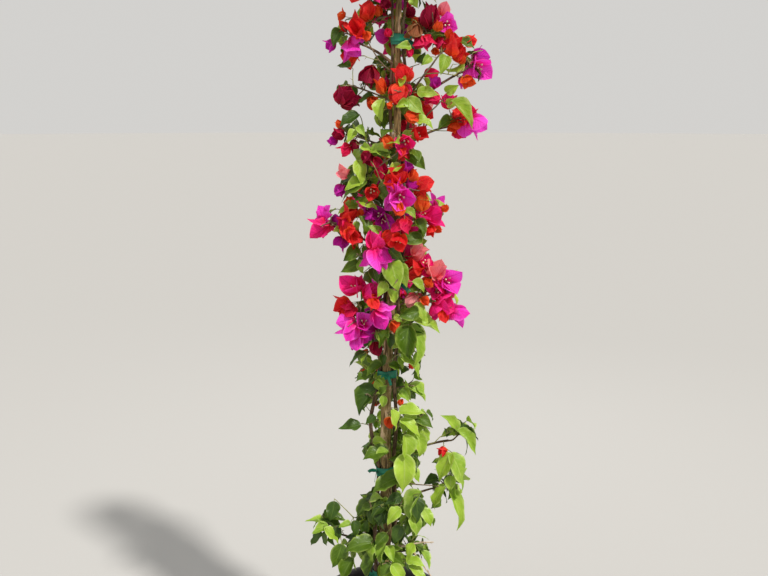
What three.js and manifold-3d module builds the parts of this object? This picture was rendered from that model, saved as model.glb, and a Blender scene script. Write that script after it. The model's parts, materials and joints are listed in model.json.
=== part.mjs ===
// A bougainvillea in a nursery pot, trained as a slim upright column. A trunk and two climbing stems
// rise side by side and are held together by tapes. Boughs and masses of leaves and bracts grow from them.
// Millimetres, +Z up, +X to the right, -Y towards the viewer. The origin is the middle of the pot's foot.
import * as THREE from "three";
import { mergeVertices } from "three/addons/utils/BufferGeometryUtils.js";
import { ConvexGeometry } from "three/addons/geometries/ConvexGeometry.js";
import Module from "manifold-3d";

const wasm = await Module();
wasm.setup();

// Driving dimensions: the pot
const potHeight = 345;
const rimRadius = 195; // outside of the rolled rim
const footRadius = 158;
const wallThickness = 4;
const rimDrop = 24; // height of the rolled rim
const rimOverhang = 9; // how far the rim stands out from the wall
const stepHeight = 285; // the wall steps in below this height
const stepDepth = 2.5;
const drainHoles = 6;
const drainRadius = 11;
const drainHeight = 21; // of the holes' middles above the ground
const roundSides = 32;

// Driving dimensions: the root ball, the trunk and the stems
const gap = 0.3; // between neighbouring solids
const soilTop = 312;
const soilFlat = 48; // radius of the flat middle of the soil
const soilSlope = 14; // how far the soil drops towards the pot's wall
const ballSlack = 0.8; // keeps the faceted sides of ball and pot apart
const footX = -8; // where the trunk stands on the soil
const leanPerHeight = 0.0294;
const swayX = 5;
const swayY = 7;
const swayHeight = 150; // height over which the sway turns by one radian
const trunkTop = 2096;
const trunkRadiusLow = 18.5;
const trunkRadiusHigh = 6.5;
const flareRadius = 13;
const flareHeight = 22;
const flareLobes = 5;
const lobeDepth = 0.13; // share of the radius
const tieHeights = [434, 753, 1033, 1279, 1884];
const tieWidth = 22;
const tieThickness = 1.2;
const tieSlack = 0.3; // between the tape and the stems that it holds
const tieTail = 26;
const tieFacing = 195; // degrees round the trunk at which the first tie is knotted
const tieTurn = 36; // from one tie's knot to the next

// The heights at which each climbing stem lies against the trunk, and how far it bows out above each of them
const holds = [434, 753, 1033, 1279, 1596, 1884, 2080];
const stemTwist = 20; // degrees that a stem winds round the trunk, to and fro
const twistHeight = 210;
const partingHeight = 75; // a stem leaves the trunk over this height
const ringSpacing = 52; // between a stem's rings
const stems = [
  { name: "stem_left", side: 180, foot: 345, top: 2016, low: 6, high: 3.6, bows: [9, 22, 6, 9, 5, 6] },
  { name: "stem_right", side: 0, foot: 520, top: 1990, low: 6, high: 3.4, bows: [6, 8, 7, 9, 20, 6] },
];

// What grows on a mass. A blade's length is its base plus grow times the mass's reach, and wide is the
// share of that. lean is the angle in radians from straight out towards the twig's own way.
const leafShape = { base: 30, grow: 0.6, wide: 0.74, cup: 4, droop: 7, lean: 0.45, lift: -0.1, turn: 1.3 };
const bractShape = { base: 29, grow: 0.34, wide: 0.88, cup: 3, droop: -3, lean: 0.75, lift: 0.05, turn: 0.4 };
const stemRadius = 2.6;
const twigRadius = 1.9;
const twigTip = 1.5;
const nodeLength = 2.6;
const border = 0.7; // from the edge of a mass's space to what grows in it
const bladeSizes = [1, 0.84, 0.7]; // tried in turn where a blade doesn't fit
const bladeTries = [[0, 0], [0.35, 0], [-0.35, 0], [0.1, 0.5], [0.1, -0.5]]; // more lean, and sideways tilt
const shootPlaces = [[0, 0], [0, 1], [1, 1], [1, 2], [2, 0]]; // node and side of a mass's stem, in order
const farReach = 104; // a mass further out than this hangs on its own bough
const boughRadius = 4.2;
const boughTip = 2.4;

const colours = {
  pot: [0x17181b, 0.55],
  soil: [0x3a2b20, 0.95],
  bark: [0x6f5d4a, 0.85],
  dryWood: [0xcbb9a4, 0.85],
  tape: [0x0c6b50, 0.5],
  leaf: [0x6f9e26, 0.55],
  magenta: [0xd51a92, 0.6],
  red: [0xd4204a, 0.6],
  orange: [0xdd4a26, 0.6],
};

// The masses. x, y, z is the middle of the space of each, and reach is how far from there it may grow.
// blooms is how many of its shoots end in a bloom of three bracts. The last word is the limb that carries it.
// name, x, y, z, reach, shoots, blooms, tint, on
const masses = [
  ["foot_left_far", -150, -30, 592, 68, 3, 0, "leaf", "stem_left"],
  ["foot_left", -64, -60, 560, 70, 3, 0, "leaf", "stem_left"],
  ["foot_front", 16, -78, 524, 68, 3, 0, "leaf", "trunk"],
  ["foot_right", 88, -12, 520, 70, 3, 0, "leaf", "trunk"],
  ["foot_back", -20, 82, 566, 84, 4, 0, "leaf", "trunk"],
  ["low_front_right", 88, -50, 656, 72, 3, 0, "leaf", "stem_right"],
  ["low_front_left", -32, -60, 672, 68, 3, 0, "leaf", "stem_left"],
  ["low_far_right", 168, -20, 728, 80, 3, 1, "leaf", "stem_right"],
  ["middle_front_right", 58, -58, 796, 66, 3, 0, "leaf", "trunk"],
  ["low_back", 34, 82, 780, 84, 4, 0, "leaf", "trunk"],
  ["middle_left", -44, -22, 838, 56, 2, 0, "leaf", "stem_left"],
  ["middle_far_right", 204, 0, 858, 62, 2, 0, "leaf", "stem_right"],
  ["middle_right", 82, -40, 912, 66, 3, 1, "leaf", "stem_right"],
  ["upper_left", -42, -26, 984, 64, 3, 0, "leaf", "stem_left"],
  ["upper_right", 72, -30, 1008, 58, 2, 0, "leaf", "stem_right"],
  ["middle_back", -10, 84, 1000, 84, 4, 1, "leaf", "trunk"],
  ["leaves_right", 78, -42, 1118, 80, 4, 0, "leaf", "stem_right"],
  ["bloom_left_low", -62, -42, 1196, 90, 4, 4, "magenta", "stem_left"],
  ["bloom_right_low", 126, -24, 1256, 88, 4, 4, "magenta", "stem_right"],
  ["bloom_back_low", 10, 84, 1210, 84, 4, 3, "magenta", "trunk"],
  ["leaves_front", 40, -76, 1314, 70, 3, 1, "leaf", "trunk"],
  ["bloom_front_left", -42, -68, 1352, 74, 3, 3, "magenta", "stem_left"],
  ["bloom_front_low", 16, -78, 1432, 70, 3, 3, "red", "trunk"],
  ["bloom_left", -132, -16, 1440, 80, 4, 4, "magenta", "stem_left"],
  ["bloom_right", 116, -14, 1448, 76, 3, 3, "magenta", "stem_right"],
  ["bloom_back", 36, 84, 1390, 84, 4, 3, "red", "trunk"],
  ["bloom_front", 52, -70, 1530, 76, 4, 4, "magenta", "trunk"],
  ["leaves_left", -62, -30, 1544, 76, 3, 1, "leaf", "stem_left"],
  ["bloom_back_high", 4, 84, 1566, 84, 4, 3, "magenta", "trunk"],
  ["bloom_front_high", 46, -58, 1640, 66, 3, 3, "red", "trunk"],
  ["bloom_left_high", -78, -18, 1658, 74, 3, 2, "red", "stem_left"],
  ["bloom_far_right", 180, -10, 1698, 78, 3, 2, "red", "stem_right"],
  ["bloom_centre_top", 40, -56, 1760, 66, 3, 2, "orange", "trunk"],
  ["bloom_left_upper", -76, -8, 1776, 70, 3, 3, "red", "stem_left"],
  ["bloom_back_top", 50, 80, 1744, 84, 4, 3, "red", "trunk"],
  ["bloom_far_right_top", 214, 0, 1826, 70, 3, 3, "magenta", "stem_right"],
  ["bloom_right_top", 114, -12, 1916, 86, 4, 4, "red", "stem_right"],
  ["bloom_left_top", -84, -12, 1896, 88, 4, 4, "red", "stem_left"],
  ["bloom_back_crown", 20, 78, 1930, 82, 4, 3, "magenta", "trunk"],
  ["crown_left", -20, -14, 2050, 74, 3, 3, "red", "stem_left"],
  ["crown_right", 92, 0, 2044, 72, 3, 2, "magenta", "stem_right"],
  ["crown_tip", 42, 6, 2138, 60, 3, 2, "red", "trunk"],
].map(([name, x, y, z, reach, shoots, blooms, tint, on]) => {
  return { name, x, y, z, reach, shoots, blooms, tint, on };
});

const up = new THREE.Vector3(0, 0, 1);
const lerp = THREE.MathUtils.lerp;
const smooth = THREE.MathUtils.smoothstep;
const point = (x, y, z) => new THREE.Vector3(x, y, z);

// A seeded share from 0 to 1: the same two numbers always give the same share.
function chance(seed, turn) {
  const wave = Math.sin(seed * 12.9898 + turn * 78.233) * 43758.5453;
  return wave - Math.floor(wave);
}

// A solid from a closed geometry, its shared vertices merged and its collapsed faces dropped
function solidOf(geometry) {
  const bare = new THREE.BufferGeometry().setAttribute("position", geometry.getAttribute("position"));
  bare.setIndex(geometry.getIndex());
  const merged = mergeVertices(bare, 1e-3);
  const corners = merged.getIndex().array;
  const kept = [];
  for (let i = 0; i < corners.length; i += 3) {
    const [a, b, c] = corners.subarray(i, i + 3);
    if (a !== b && b !== c && c !== a) kept.push(a, b, c);
  }
  const vertProperties = new Float32Array(merged.getAttribute("position").array);
  return new wasm.Manifold(new wasm.Mesh({ numProp: 3, vertProperties, triVerts: new Uint32Array(kept) }));
}

function geometryOf(solid) {
  const made = solid.getMesh();
  const geometry = new THREE.BufferGeometry();
  geometry.setAttribute("position", new THREE.BufferAttribute(made.vertProperties, 3));
  geometry.setIndex(new THREE.BufferAttribute(made.triVerts, 1));
  geometry.computeVertexNormals();
  return geometry;
}

// A closed tube through rings of points, each ring going the same way round, with a flat cap at each end
function loft(rings) {
  const sides = rings[0].length;
  const middle = (ring) => ring.reduce((sum, p) => sum.add(p), point(0, 0, 0)).divideScalar(sides);
  const spots = [...rings.flat(), middle(rings[0]), middle(rings.at(-1))];
  const faces = [];
  for (let i = 0; i < rings.length - 1; i++)
    for (let j = 0; j < sides; j++) {
      const a = i * sides + j;
      const b = i * sides + ((j + 1) % sides);
      faces.push(a, b, b + sides, a, b + sides, a + sides);
    }
  const first = rings.length * sides;
  const last = (rings.length - 1) * sides;
  for (let j = 0; j < sides; j++) {
    const k = (j + 1) % sides;
    faces.push(first, k, j, first + 1, last + j, last + k);
  }
  const geometry = new THREE.BufferGeometry().setFromPoints(spots);
  geometry.setIndex(faces);
  return geometry;
}

// A tapering limb along a curve, its rings square to the curve
function taper(curve, radiusLow, radiusHigh, sides, steps) {
  const frames = curve.computeFrenetFrames(steps, false);
  const rings = [];
  for (let i = 0; i <= steps; i++) {
    const centre = curve.getPointAt(i / steps);
    const radius = lerp(radiusLow, radiusHigh, i / steps);
    rings.push(
      Array.from({ length: sides }, (_, j) => {
        const angle = (j / sides) * 2 * Math.PI;
        return centre
          .clone()
          .addScaledVector(frames.normals[i], Math.cos(angle) * radius)
          .addScaledVector(frames.binormals[i], Math.sin(angle) * radius);
      }),
    );
  }
  return loft(rings);
}

// The trunk's middle line: a slight lean and a slow sway
function axisAt(z) {
  const rise = (z - soilTop) / swayHeight;
  const x = footX + leanPerHeight * (z - soilTop) + swayX * Math.sin(rise);
  return point(x, swayY * Math.sin(rise * 0.8), z);
}

function trunkRadius(z) {
  const rise = z - soilTop;
  const share = (rise / (trunkTop - soilTop)) ** 0.9;
  return lerp(trunkRadiusLow, trunkRadiusHigh, share) + flareRadius * Math.exp(-rise / flareHeight);
}

// A climbing stem leaves the trunk at its foot and then lies beside it, bowing out between its holds.
function stemAt(stem, z) {
  const share = (z - stem.foot) / (stem.top - stem.foot);
  const radius = lerp(stem.low, stem.high, share);
  const beside = trunkRadius(z) + radius + 2 * gap;
  const span = holds.findLastIndex((hold) => hold <= z);
  let bow = 0;
  if (span >= 0 && span < holds.length - 1) {
    const along = (z - holds[span]) / (holds[span + 1] - holds[span]);
    bow = stem.bows[span] * Math.sin(Math.PI * along) ** 2;
  }
  const out = (beside + bow) * lerp(0.15, 1, smooth(z, stem.foot, stem.foot + partingHeight));
  const turn = THREE.MathUtils.degToRad(stem.side + stemTwist * Math.sin((z - soilTop) / twistHeight));
  const centre = axisAt(z).add(point(Math.cos(turn) * out, Math.sin(turn) * out, 0));
  return { centre, radius };
}

// An upright limb with level rings at the given heights
function upright(heights, sides, ringAt) {
  return loft(
    heights.map((z) => {
      const { centre, radius, lobe } = ringAt(z);
      return Array.from({ length: sides }, (_, j) => {
        const angle = (j / sides) * 2 * Math.PI;
        const r = radius * (1 + (lobe ?? 0) * Math.cos(angle * flareLobes));
        return centre.clone().add(point(Math.cos(angle) * r, Math.sin(angle) * r, 0));
      });
    }),
  );
}

function evenly(from, to, steps) {
  return Array.from({ length: steps + 1 }, (_, i) => lerp(from, to, i / steps));
}

function trunkSolid(grow) {
  const ringAt = (z) => ({
    centre: axisAt(z),
    radius: trunkRadius(z) + grow,
    lobe: lobeDepth * Math.exp(-(z - soilTop) / (2 * flareHeight)),
  });
  const foot = soilTop + gap;
  const flared = [0, 0.35, 0.9, 1.8].map((share) => foot + share * flareHeight);
  const heights = [...flared, ...evenly(foot + 3.4 * flareHeight, trunkTop, 26)];
  return solidOf(upright(heights, 2 * flareLobes, ringAt));
}

function stemSolid(stem, grow) {
  const ringAt = (z) => {
    const { centre, radius } = stemAt(stem, z);
    return { centre, radius: radius + grow };
  };
  const inside = holds.filter((hold) => hold > stem.foot + tieWidth && hold < stem.top - tieWidth);
  const ends = [stem.foot, ...inside.flatMap((hold) => [hold - tieWidth / 2, hold + tieWidth / 2]), stem.top];
  const heights = ends.slice(1).flatMap((to, i) => {
    const from = ends[i];
    return evenly(from, to, Math.max(1, Math.round((to - from) / ringSpacing))).slice(1);
  });
  return solidOf(upright([stem.foot, ...heights], 6, ringAt));
}

function potSolid() {
  const wallAt = (z) => lerp(footRadius, rimRadius - rimOverhang, z / potHeight);
  const rimFoot = potHeight - rimDrop;
  const inside = wallAt(potHeight) - wallThickness;
  const profile = [
    [0, 0],
    [footRadius - 4, 0],
    [footRadius, 4],
    [wallAt(stepHeight) - stepDepth, stepHeight - 3],
    [wallAt(stepHeight), stepHeight],
    [wallAt(rimFoot), rimFoot],
    [rimRadius - 1, rimFoot],
    [rimRadius, potHeight - 7],
    [rimRadius - 5, potHeight],
    [inside, potHeight - 2],
    [footRadius - wallThickness, wallThickness + 2],
    [0, wallThickness + 2],
  ];
  const shell = new THREE.LatheGeometry(
    profile.map(([r, z]) => new THREE.Vector2(r, z)),
    roundSides,
  ).rotateX(Math.PI / 2);
  let pot = solidOf(shell);
  for (let i = 0; i < drainHoles; i++) {
    const drill = new THREE.CylinderGeometry(drainRadius, drainRadius, 10 * wallThickness, 8);
    drill.rotateZ(Math.PI / 2).translate(footRadius, 0, drainHeight);
    drill.rotateZ(((i + 0.5) / drainHoles) * 2 * Math.PI);
    pot = pot.subtract(solidOf(drill));
  }
  return pot;
}

function rootBallSolid() {
  const floor = wallThickness + 2;
  const insideHigh = rimRadius - rimOverhang - wallThickness;
  const insideAt = (z) => lerp(footRadius - wallThickness, insideHigh, (z - floor) / (potHeight - 2 - floor));
  const edge = soilTop - soilSlope;
  const profile = [
    [0, floor + gap],
    [insideAt(floor) - ballSlack, floor + gap],
    [insideAt(edge) - ballSlack, edge],
    [2.5 * soilFlat, soilTop - soilSlope / 3],
    [soilFlat, soilTop],
    [0, soilTop],
  ];
  const ball = new THREE.LatheGeometry(
    profile.map(([r, z]) => new THREE.Vector2(r, z)),
    roundSides,
  ).rotateX(Math.PI / 2);
  return solidOf(ball);
}

// The outline of a band of tape round the trunk and the stems, at one distance from them
function bandSolid(z, distance, low, high) {
  const held = [];
  for (const level of [z - tieWidth / 2, z, z + tieWidth / 2]) {
    held.push({ centre: axisAt(level), radius: trunkRadius(level) });
    for (const stem of stems) if (z > stem.foot + partingHeight) held.push(stemAt(stem, level));
  }
  const corners = [];
  for (const { centre, radius } of held)
    for (let i = 0; i < 8; i++) {
      const angle = ((i + 0.5) / 8) * 2 * Math.PI;
      const r = (radius + distance) / Math.cos(Math.PI / 8);
      for (const end of [low, high])
        corners.push(point(centre.x + Math.cos(angle) * r, centre.y + Math.sin(angle) * r, z + end));
    }
  return solidOf(new ConvexGeometry(corners));
}

// A tie: a band of tape with a knot and two loose tails
function tieSolid(z, index, grow) {
  const half = tieWidth / 2;
  const outer = bandSolid(z, tieSlack + tieThickness + grow, -half - grow, half + grow);
  let tie = outer.subtract(bandSolid(z, Math.max(tieSlack - grow, 0.1), -tieWidth, tieWidth));
  const facing = THREE.MathUtils.degToRad(tieFacing + tieTurn * index);
  const bounds = outer.boundingBox();
  const reach = (bounds.max[0] - bounds.min[0]) / 2;
  const depth = (bounds.max[1] - bounds.min[1]) / 2;
  const middle = point((bounds.max[0] + bounds.min[0]) / 2, (bounds.max[1] + bounds.min[1]) / 2, z);
  const knot = point(Math.cos(facing) * (reach - 1), Math.sin(facing) * (depth - 1), 0).add(middle);
  for (const lift of [-0.5, 0.7]) {
    const tail = new THREE.BoxGeometry(tieTail, 2 + grow, tieWidth * 0.55 + grow);
    tail.translate(tieTail / 2 - 3, 0, 0).rotateY(-lift).rotateZ(facing).translate(knot.x, knot.y, knot.z);
    tie = tie.add(solidOf(tail).subtract(bandSolid(z, tieSlack + 0.2, -3 * tieWidth, 3 * tieWidth)));
  }
  return tie;
}

const limbs = new Map(); // name of a limb, to its solid and the same solid grown by the gap
const trunk = { name: "trunk", solid: trunkSolid(0), grown: trunkSolid(gap) };
limbs.set("trunk", trunk);
for (const stem of stems) {
  const solid = stemSolid(stem, 0).subtract(trunk.grown);
  limbs.set(stem.name, { name: stem.name, solid: largest(solid), grown: stemSolid(stem, gap) });
}

function largest(solid) {
  return solid.decompose().sort((a, b) => b.volume() - a.volume())[0];
}

// The middle line of the limb that carries a mass, at one height
function carrierAt(name, z) {
  const stem = stems.find((one) => one.name === name);
  return stem ? stemAt(stem, z) : { centre: axisAt(z), radius: trunkRadius(z) };
}

function carrierTop(name) {
  return stems.find((one) => one.name === name)?.top ?? trunkTop;
}

// The height nearest to z at which a side limb can leave between the ties
function clearOfTies(z) {
  const below = tieWidth / 2 + 30;
  const above = tieWidth / 2 + 6;
  const tie = tieHeights.find((height) => z > height - below && z < height + above);
  if (tie === undefined) return z;
  return z - (tie - below) < tie + above - z ? tie - below : tie + above;
}

// Where a mass's stem or its bough begins: on its limb some way below the mass, or at the limb's tip
function rootOf(mass) {
  const middle = point(mass.x, mass.y, mass.z);
  const top = carrierTop(mass.on);
  const level = carrierAt(mass.on, Math.min(mass.z, top)).centre;
  const out = middle.clone().sub(level).setZ(0);
  const reach = out.length();
  out.normalize();
  if (mass.z > top) {
    const start = carrierAt(mass.on, top).centre.addScaledVector(up, gap);
    return { start, way: up, out, reach, tip: true };
  }
  const wish = mass.z - reach * (reach > farReach ? 0.62 : 0.42);
  const start = carrierAt(mass.on, clearOfTies(wish)).centre;
  const way = out.clone().multiplyScalar(0.75).addScaledVector(up, 0.66).normalize();
  return { start, way, out, reach, tip: false };
}

// A bough for a far mass: it leaves its limb on a rising curve and ends just inside the mass.
function boughCurve(mass, root) {
  const end = point(mass.x, mass.y, mass.z).addScaledVector(root.out, -mass.reach * 0.45);
  end.z -= mass.reach * 0.3;
  const bend = root.start.clone().addScaledVector(root.way, end.distanceTo(root.start) * 0.5);
  return new THREE.QuadraticBezierCurve3(root.start, bend, end);
}

const boughs = new Map();
for (const mass of masses) {
  const root = rootOf(mass);
  if (root.tip || root.reach <= farReach) continue;
  const curve = boughCurve(mass, root);
  const carrier = limbs.get(mass.on);
  let solid = solidOf(taper(curve, boughRadius, boughTip, 5, 5)).subtract(carrier.grown);
  for (const limb of limbs.values()) if (limb !== carrier) solid = solid.subtract(limb.grown);
  const name = "bough_" + mass.name;
  const grown = solidOf(taper(curve, boughRadius + gap, boughTip + gap, 5, 5));
  boughs.set(mass.name, { name, curve, solid: largest(solid), grown });
}

// A pale dry twig low on the right, forked and without leaves
function dryTwigSolid(grow) {
  const foot = axisAt(505);
  const fork = point(62, -30, 540);
  const parts = [point(136, -46, 561), point(132, -62, 463)].map((tip) => {
    const middle = fork.clone().lerp(tip, 0.5).addScaledVector(up, 4);
    const curve = new THREE.CatmullRomCurve3([foot, fork, middle, tip]);
    return solidOf(taper(curve, 3 + grow, 1.5 + grow, 4, 4));
  });
  return largest(parts[0].add(parts[1]).subtract(trunk.grown));
}

const pot = potSolid();
const rootBall = rootBallSolid();
const ties = tieHeights.map((z, i) => {
  return { name: `tie_${i + 1}`, solid: tieSolid(z, i, 0), grown: tieSolid(z, i, 2 * gap) };
});
const dryTwig = { name: "dry_twig", solid: dryTwigSolid(0), grown: dryTwigSolid(2 * gap) };

// The stem of a mass: from its root to the middle of its space and on towards its outer edge
function stemOf(mass) {
  const middle = point(mass.x, mass.y, mass.z);
  const root = rootOf(mass);
  const bough = boughs.get(mass.name);
  const way = bough ? bough.curve.getTangent(1) : root.way;
  const start = bough ? bough.curve.getPoint(1).addScaledVector(way, gap) : root.start;
  const first = start.clone().addScaledVector(way, Math.min(16, start.distanceTo(middle) * 0.4));
  const end = middle.clone().addScaledVector(root.out, mass.reach * 0.15);
  end.addScaledVector(up, mass.reach * (root.tip ? 0.25 : 0));
  const curve = new THREE.CatmullRomCurve3([start, first, middle, end]);
  return { curve, way, inside: !bough && !root.tip };
}

// The space of a mass is the part of the crown that is nearer to its middle than to any other's.
const middles = masses.map((mass) => point(mass.x, mass.y, mass.z));
function inOwnSpace(index, spots) {
  const own = middles[index];
  if (spots.some((p) => p.distanceTo(own) > masses[index].reach)) return false;
  return middles.every((other, i) => {
    if (i === index) return true;
    const apart = other.distanceTo(own);
    return spots.every((p) => (p.distanceToSquared(other) - p.distanceToSquared(own)) / (2 * apart) > border);
  });
}

function boxesMeet(a, b) {
  return [0, 1, 2].every((k) => a.min[k] <= b.max[k] && b.min[k] <= a.max[k]);
}

const boxed = (solid) => ({ solid, box: solid.boundingBox() });

function clearOf(one, obstacles) {
  return obstacles.every(
    (other) => !boxesMeet(one.box, other.box) || one.solid.intersect(other.solid).volume() < 1e-3,
  );
}

// A growing body is a list of spots and a list of faces. A twig is three-sided, and its nodes are short.
// Each of a node's sides can bear a blade or a side twig, which takes the place of that side's faces.
function addRing(body, centre, way, first, radius) {
  const u = first.clone().addScaledVector(way, -first.dot(way)).normalize();
  const v = way.clone().cross(u);
  return [0, 1, 2].map((i) => {
    const angle = (i * 2 * Math.PI) / 3;
    const spot = centre.clone().addScaledVector(u, Math.cos(angle) * radius);
    return body.spots.push(spot.addScaledVector(v, Math.sin(angle) * radius)) - 1;
  });
}

function solidOfBody(body) {
  const geometry = new THREE.BufferGeometry().setFromPoints(body.spots);
  geometry.setIndex(body.faces.flat());
  return solidOf(geometry);
}

// A side of a node: its four corners, its middle, the way out of it and the way along its twig
function sideOf(body, low, high, side, way) {
  const next = (side + 1) % 3;
  const corners = [low[side], low[next], high[next], high[side]];
  const spots = corners.map((i) => body.spots[i]);
  const middle = spots.reduce((sum, p) => sum.add(p), point(0, 0, 0)).divideScalar(4);
  const across = spots[1].clone().sub(spots[0]).normalize();
  return { corners, spots, middle, across, way, out: across.clone().cross(way).normalize() };
}

// A blade grown from a side: left low, left high, tip, right high and right low. Its thickness runs out from
// the side's height at the root to nothing at its edge.
function bladeSpots(side, shape, lean, tilt) {
  const along = side.out.clone().multiplyScalar(Math.cos(lean)).addScaledVector(side.way, Math.sin(lean));
  along.addScaledVector(side.across, tilt).addScaledVector(up, shape.lift).normalize();
  const across = side.across.clone().addScaledVector(side.way, shape.turn);
  across.addScaledVector(along, -across.dot(along)).normalize();
  const normal = along.clone().cross(across);
  if (normal.dot(side.way) < 0) normal.negate();
  const spot = (forward, sideways, rise) =>
    side.middle
      .clone()
      .addScaledVector(along, forward * shape.length)
      .addScaledVector(across, sideways * shape.width)
      .addScaledVector(normal, rise);
  return [
    spot(0.3, -0.47, shape.cup),
    spot(0.68, -0.36, shape.cup - shape.droop * 0.4),
    spot(1, 0, -shape.droop),
    spot(0.68, 0.36, shape.cup - shape.droop * 0.4),
    spot(0.3, 0.47, shape.cup),
  ];
}

function bladeFaces([a, b, c, d], [leftLow, leftHigh, tip, rightHigh, rightLow]) {
  return [
    [a, b, tip],
    [a, tip, leftHigh],
    [a, leftHigh, leftLow],
    [b, rightHigh, tip],
    [b, rightLow, rightHigh],
    [b, c, rightLow],
    [c, d, tip],
    [c, tip, rightHigh],
    [c, rightHigh, rightLow],
    [d, leftHigh, tip],
    [d, leftLow, leftHigh],
    [d, a, leftLow],
  ];
}

// Grows a blade from a side if it keeps to the mass's space and clear of everything placed before.
function growBlade(body, side, shape, site) {
  for (const size of bladeSizes)
    for (const [more, tilt] of bladeTries) {
      const sized = { ...shape, length: shape.length * size, width: shape.width * size };
      const spots = bladeSpots(side, sized, shape.lean + more, tilt);
      if (!inOwnSpace(site.index, spots)) continue;
      const faces = [...bladeFaces([0, 1, 2, 3], [4, 5, 6, 7, 8]), [2, 1, 0], [3, 2, 0]];
      const alone = boxed(solidOfBody({ spots: [...side.spots, ...spots], faces }));
      if (alone.solid.volume() <= 0 || !clearOf(alone, site.obstacles)) continue;
      const count = body.spots.push(...spots);
      body.faces.push(...bladeFaces(side.corners, [5, 4, 3, 2, 1].map((back) => count - back)));
      site.obstacles.push(alone);
      return true;
    }
  return false;
}

function twigLine(body, twig, root) {
  const length = twig.curve.getLength();
  const half = nodeLength / 2 / length;
  const radiusAt = (share) => lerp(twig.low, twig.high, share);
  const centre = root && root.reduce((sum, i) => sum.add(body.spots[i]), point(0, 0, 0)).divideScalar(3);
  const first = root ? body.spots[root[0]].clone().sub(centre) : twig.first;
  const ringAt = (share) => {
    const way = share === 0 ? twig.way : twig.curve.getTangentAt(share);
    return addRing(body, twig.curve.getPointAt(share), way, first, radiusAt(share));
  };
  const nodes = twig.nodes.map((share) => {
    const low = Math.min(share - half, 1 - 2 * half);
    return { low: ringAt(low), high: ringAt(low + 2 * half), way: twig.curve.getTangentAt(low + half) };
  });
  return { root: root ?? ringAt(0), nodes };
}

function joinRings(body, low, high, side) {
  const next = (side + 1) % 3;
  body.faces.push([low[side], low[next], high[next]], [low[side], high[next], high[side]]);
}

// Grows a twig and asks bear(node number, side number, side) to grow something from each side of each node.
function growTwig(body, twig, root, bear) {
  const line = twigLine(body, twig, root);
  if (!root) body.faces.push([line.root[0], line.root[2], line.root[1]]);
  let ring = line.root;
  line.nodes.forEach(({ low, high, way }, number) => {
    for (let side = 0; side < 3; side++) {
      joinRings(body, ring, low, side);
      if (!bear(number, side, sideOf(body, low, high, side, way))) joinRings(body, low, high, side);
    }
    ring = high;
  });
  body.faces.push(ring);
}

// The same twig by itself and bare, for testing what it meets
function bareTwig(twig, rootSpots) {
  const body = { spots: [...(rootSpots ?? [])], faces: [] };
  if (rootSpots) body.faces.push([0, 2, 1]);
  growTwig(body, twig, rootSpots && [0, 1, 2], () => false);
  return boxed(solidOfBody(body));
}

// Grows a side twig from one of a side's two faces, and blades from the twig's own nodes.
function growShoot(body, side, mass, seed, blooms, site) {
  const rootSpots = [side.spots[0], side.spots[1], side.spots[2]];
  for (let attempt = 0; attempt < 5; attempt++) {
    const lean = lerp(0.15, 0.8, chance(seed, attempt));
    const way = side.out.clone().multiplyScalar(Math.cos(lean)).addScaledVector(side.way, Math.sin(lean));
    way.addScaledVector(side.across, 0.7 * (chance(seed, attempt + 0.5) - 0.5));
    way.addScaledVector(up, 0.12).normalize();
    const length = mass.reach * lerp(0.32, 0.5, chance(seed, attempt + 0.25));
    const tip = side.middle.clone().addScaledVector(way, length);
    const bend = side.middle.clone().addScaledVector(way, length * 0.5);
    bend.addScaledVector(side.out, length * 0.06);
    const curve = new THREE.QuadraticBezierCurve3(side.middle, bend, tip);
    const twig = { curve, low: twigRadius, high: twigTip, nodes: [0.56, 1] };
    if (!inOwnSpace(site.index, [bend, tip])) continue;
    const bare = bareTwig(twig, rootSpots);
    if (bare.solid.volume() <= 0 || !clearOf(bare, site.obstacles)) continue;
    site.obstacles.push(bare);
    const [a, b, c, d] = side.corners;
    body.faces.push([a, c, d]);
    const spare = Math.floor(chance(seed, 9) * 3);
    growTwig(body, twig, [a, b, c], (node, number, place) => {
      if (node === 0 && number === spare) return false;
      const kind = node === 1 && blooms ? bractShape : leafShape;
      return growBlade(body, place, varied(kind, mass, seed + node * 3 + number), site);
    });
    return true;
  }
  return false;
}

// A shape's size, lean and turn for one blade. Small masses have small blades.
function varied(shape, mass, seed) {
  const length = (shape.base + shape.grow * mass.reach) * lerp(0.84, 1.12, chance(seed, 3));
  const lean = shape.lean + 0.3 * (chance(seed, 4) - 0.5);
  const turn = shape.turn * (chance(seed, 6) - 0.5);
  return { ...shape, length, width: length * shape.wide, lean, turn };
}

// A mass: its stem with three nodes. Shoots grow from the sides of the nodes, and blades from its tip.
function massSolid(mass, index, obstacles) {
  const { curve, way, inside } = stemOf(mass);
  const first = point(Math.cos(index * 2.1), Math.sin(index * 2.1), 0.3).cross(way).normalize();
  const stem = { curve, way, first, low: stemRadius, high: twigRadius, nodes: [0.55, 0.76, 1] };
  const site = { index, obstacles: [...obstacles, bareTwig(stem)] };
  const body = { spots: [], faces: [] };
  let shoots = 0;
  growTwig(body, stem, null, (node, number, side) => {
    const seed = index * 31 + node * 7 + number;
    const last = node === 2;
    const wanted = shootPlaces.some(([n, s]) => n === node && s === (number + index) % 3);
    if (wanted && shoots < mass.shoots) {
      const blooms = shoots >= mass.shoots - mass.blooms;
      if (growShoot(body, side, mass, seed, blooms, site)) {
        shoots += 1;
        return true;
      }
    }
    const kind = last && mass.blooms > 2 ? bractShape : leafShape;
    return (node > 0 || wanted) && growBlade(body, side, varied(kind, mass, seed), site);
  });
  const whole = solidOfBody(body);
  return inside ? largest(whole.subtract(limbs.get(mass.on).grown)) : whole;
}

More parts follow.
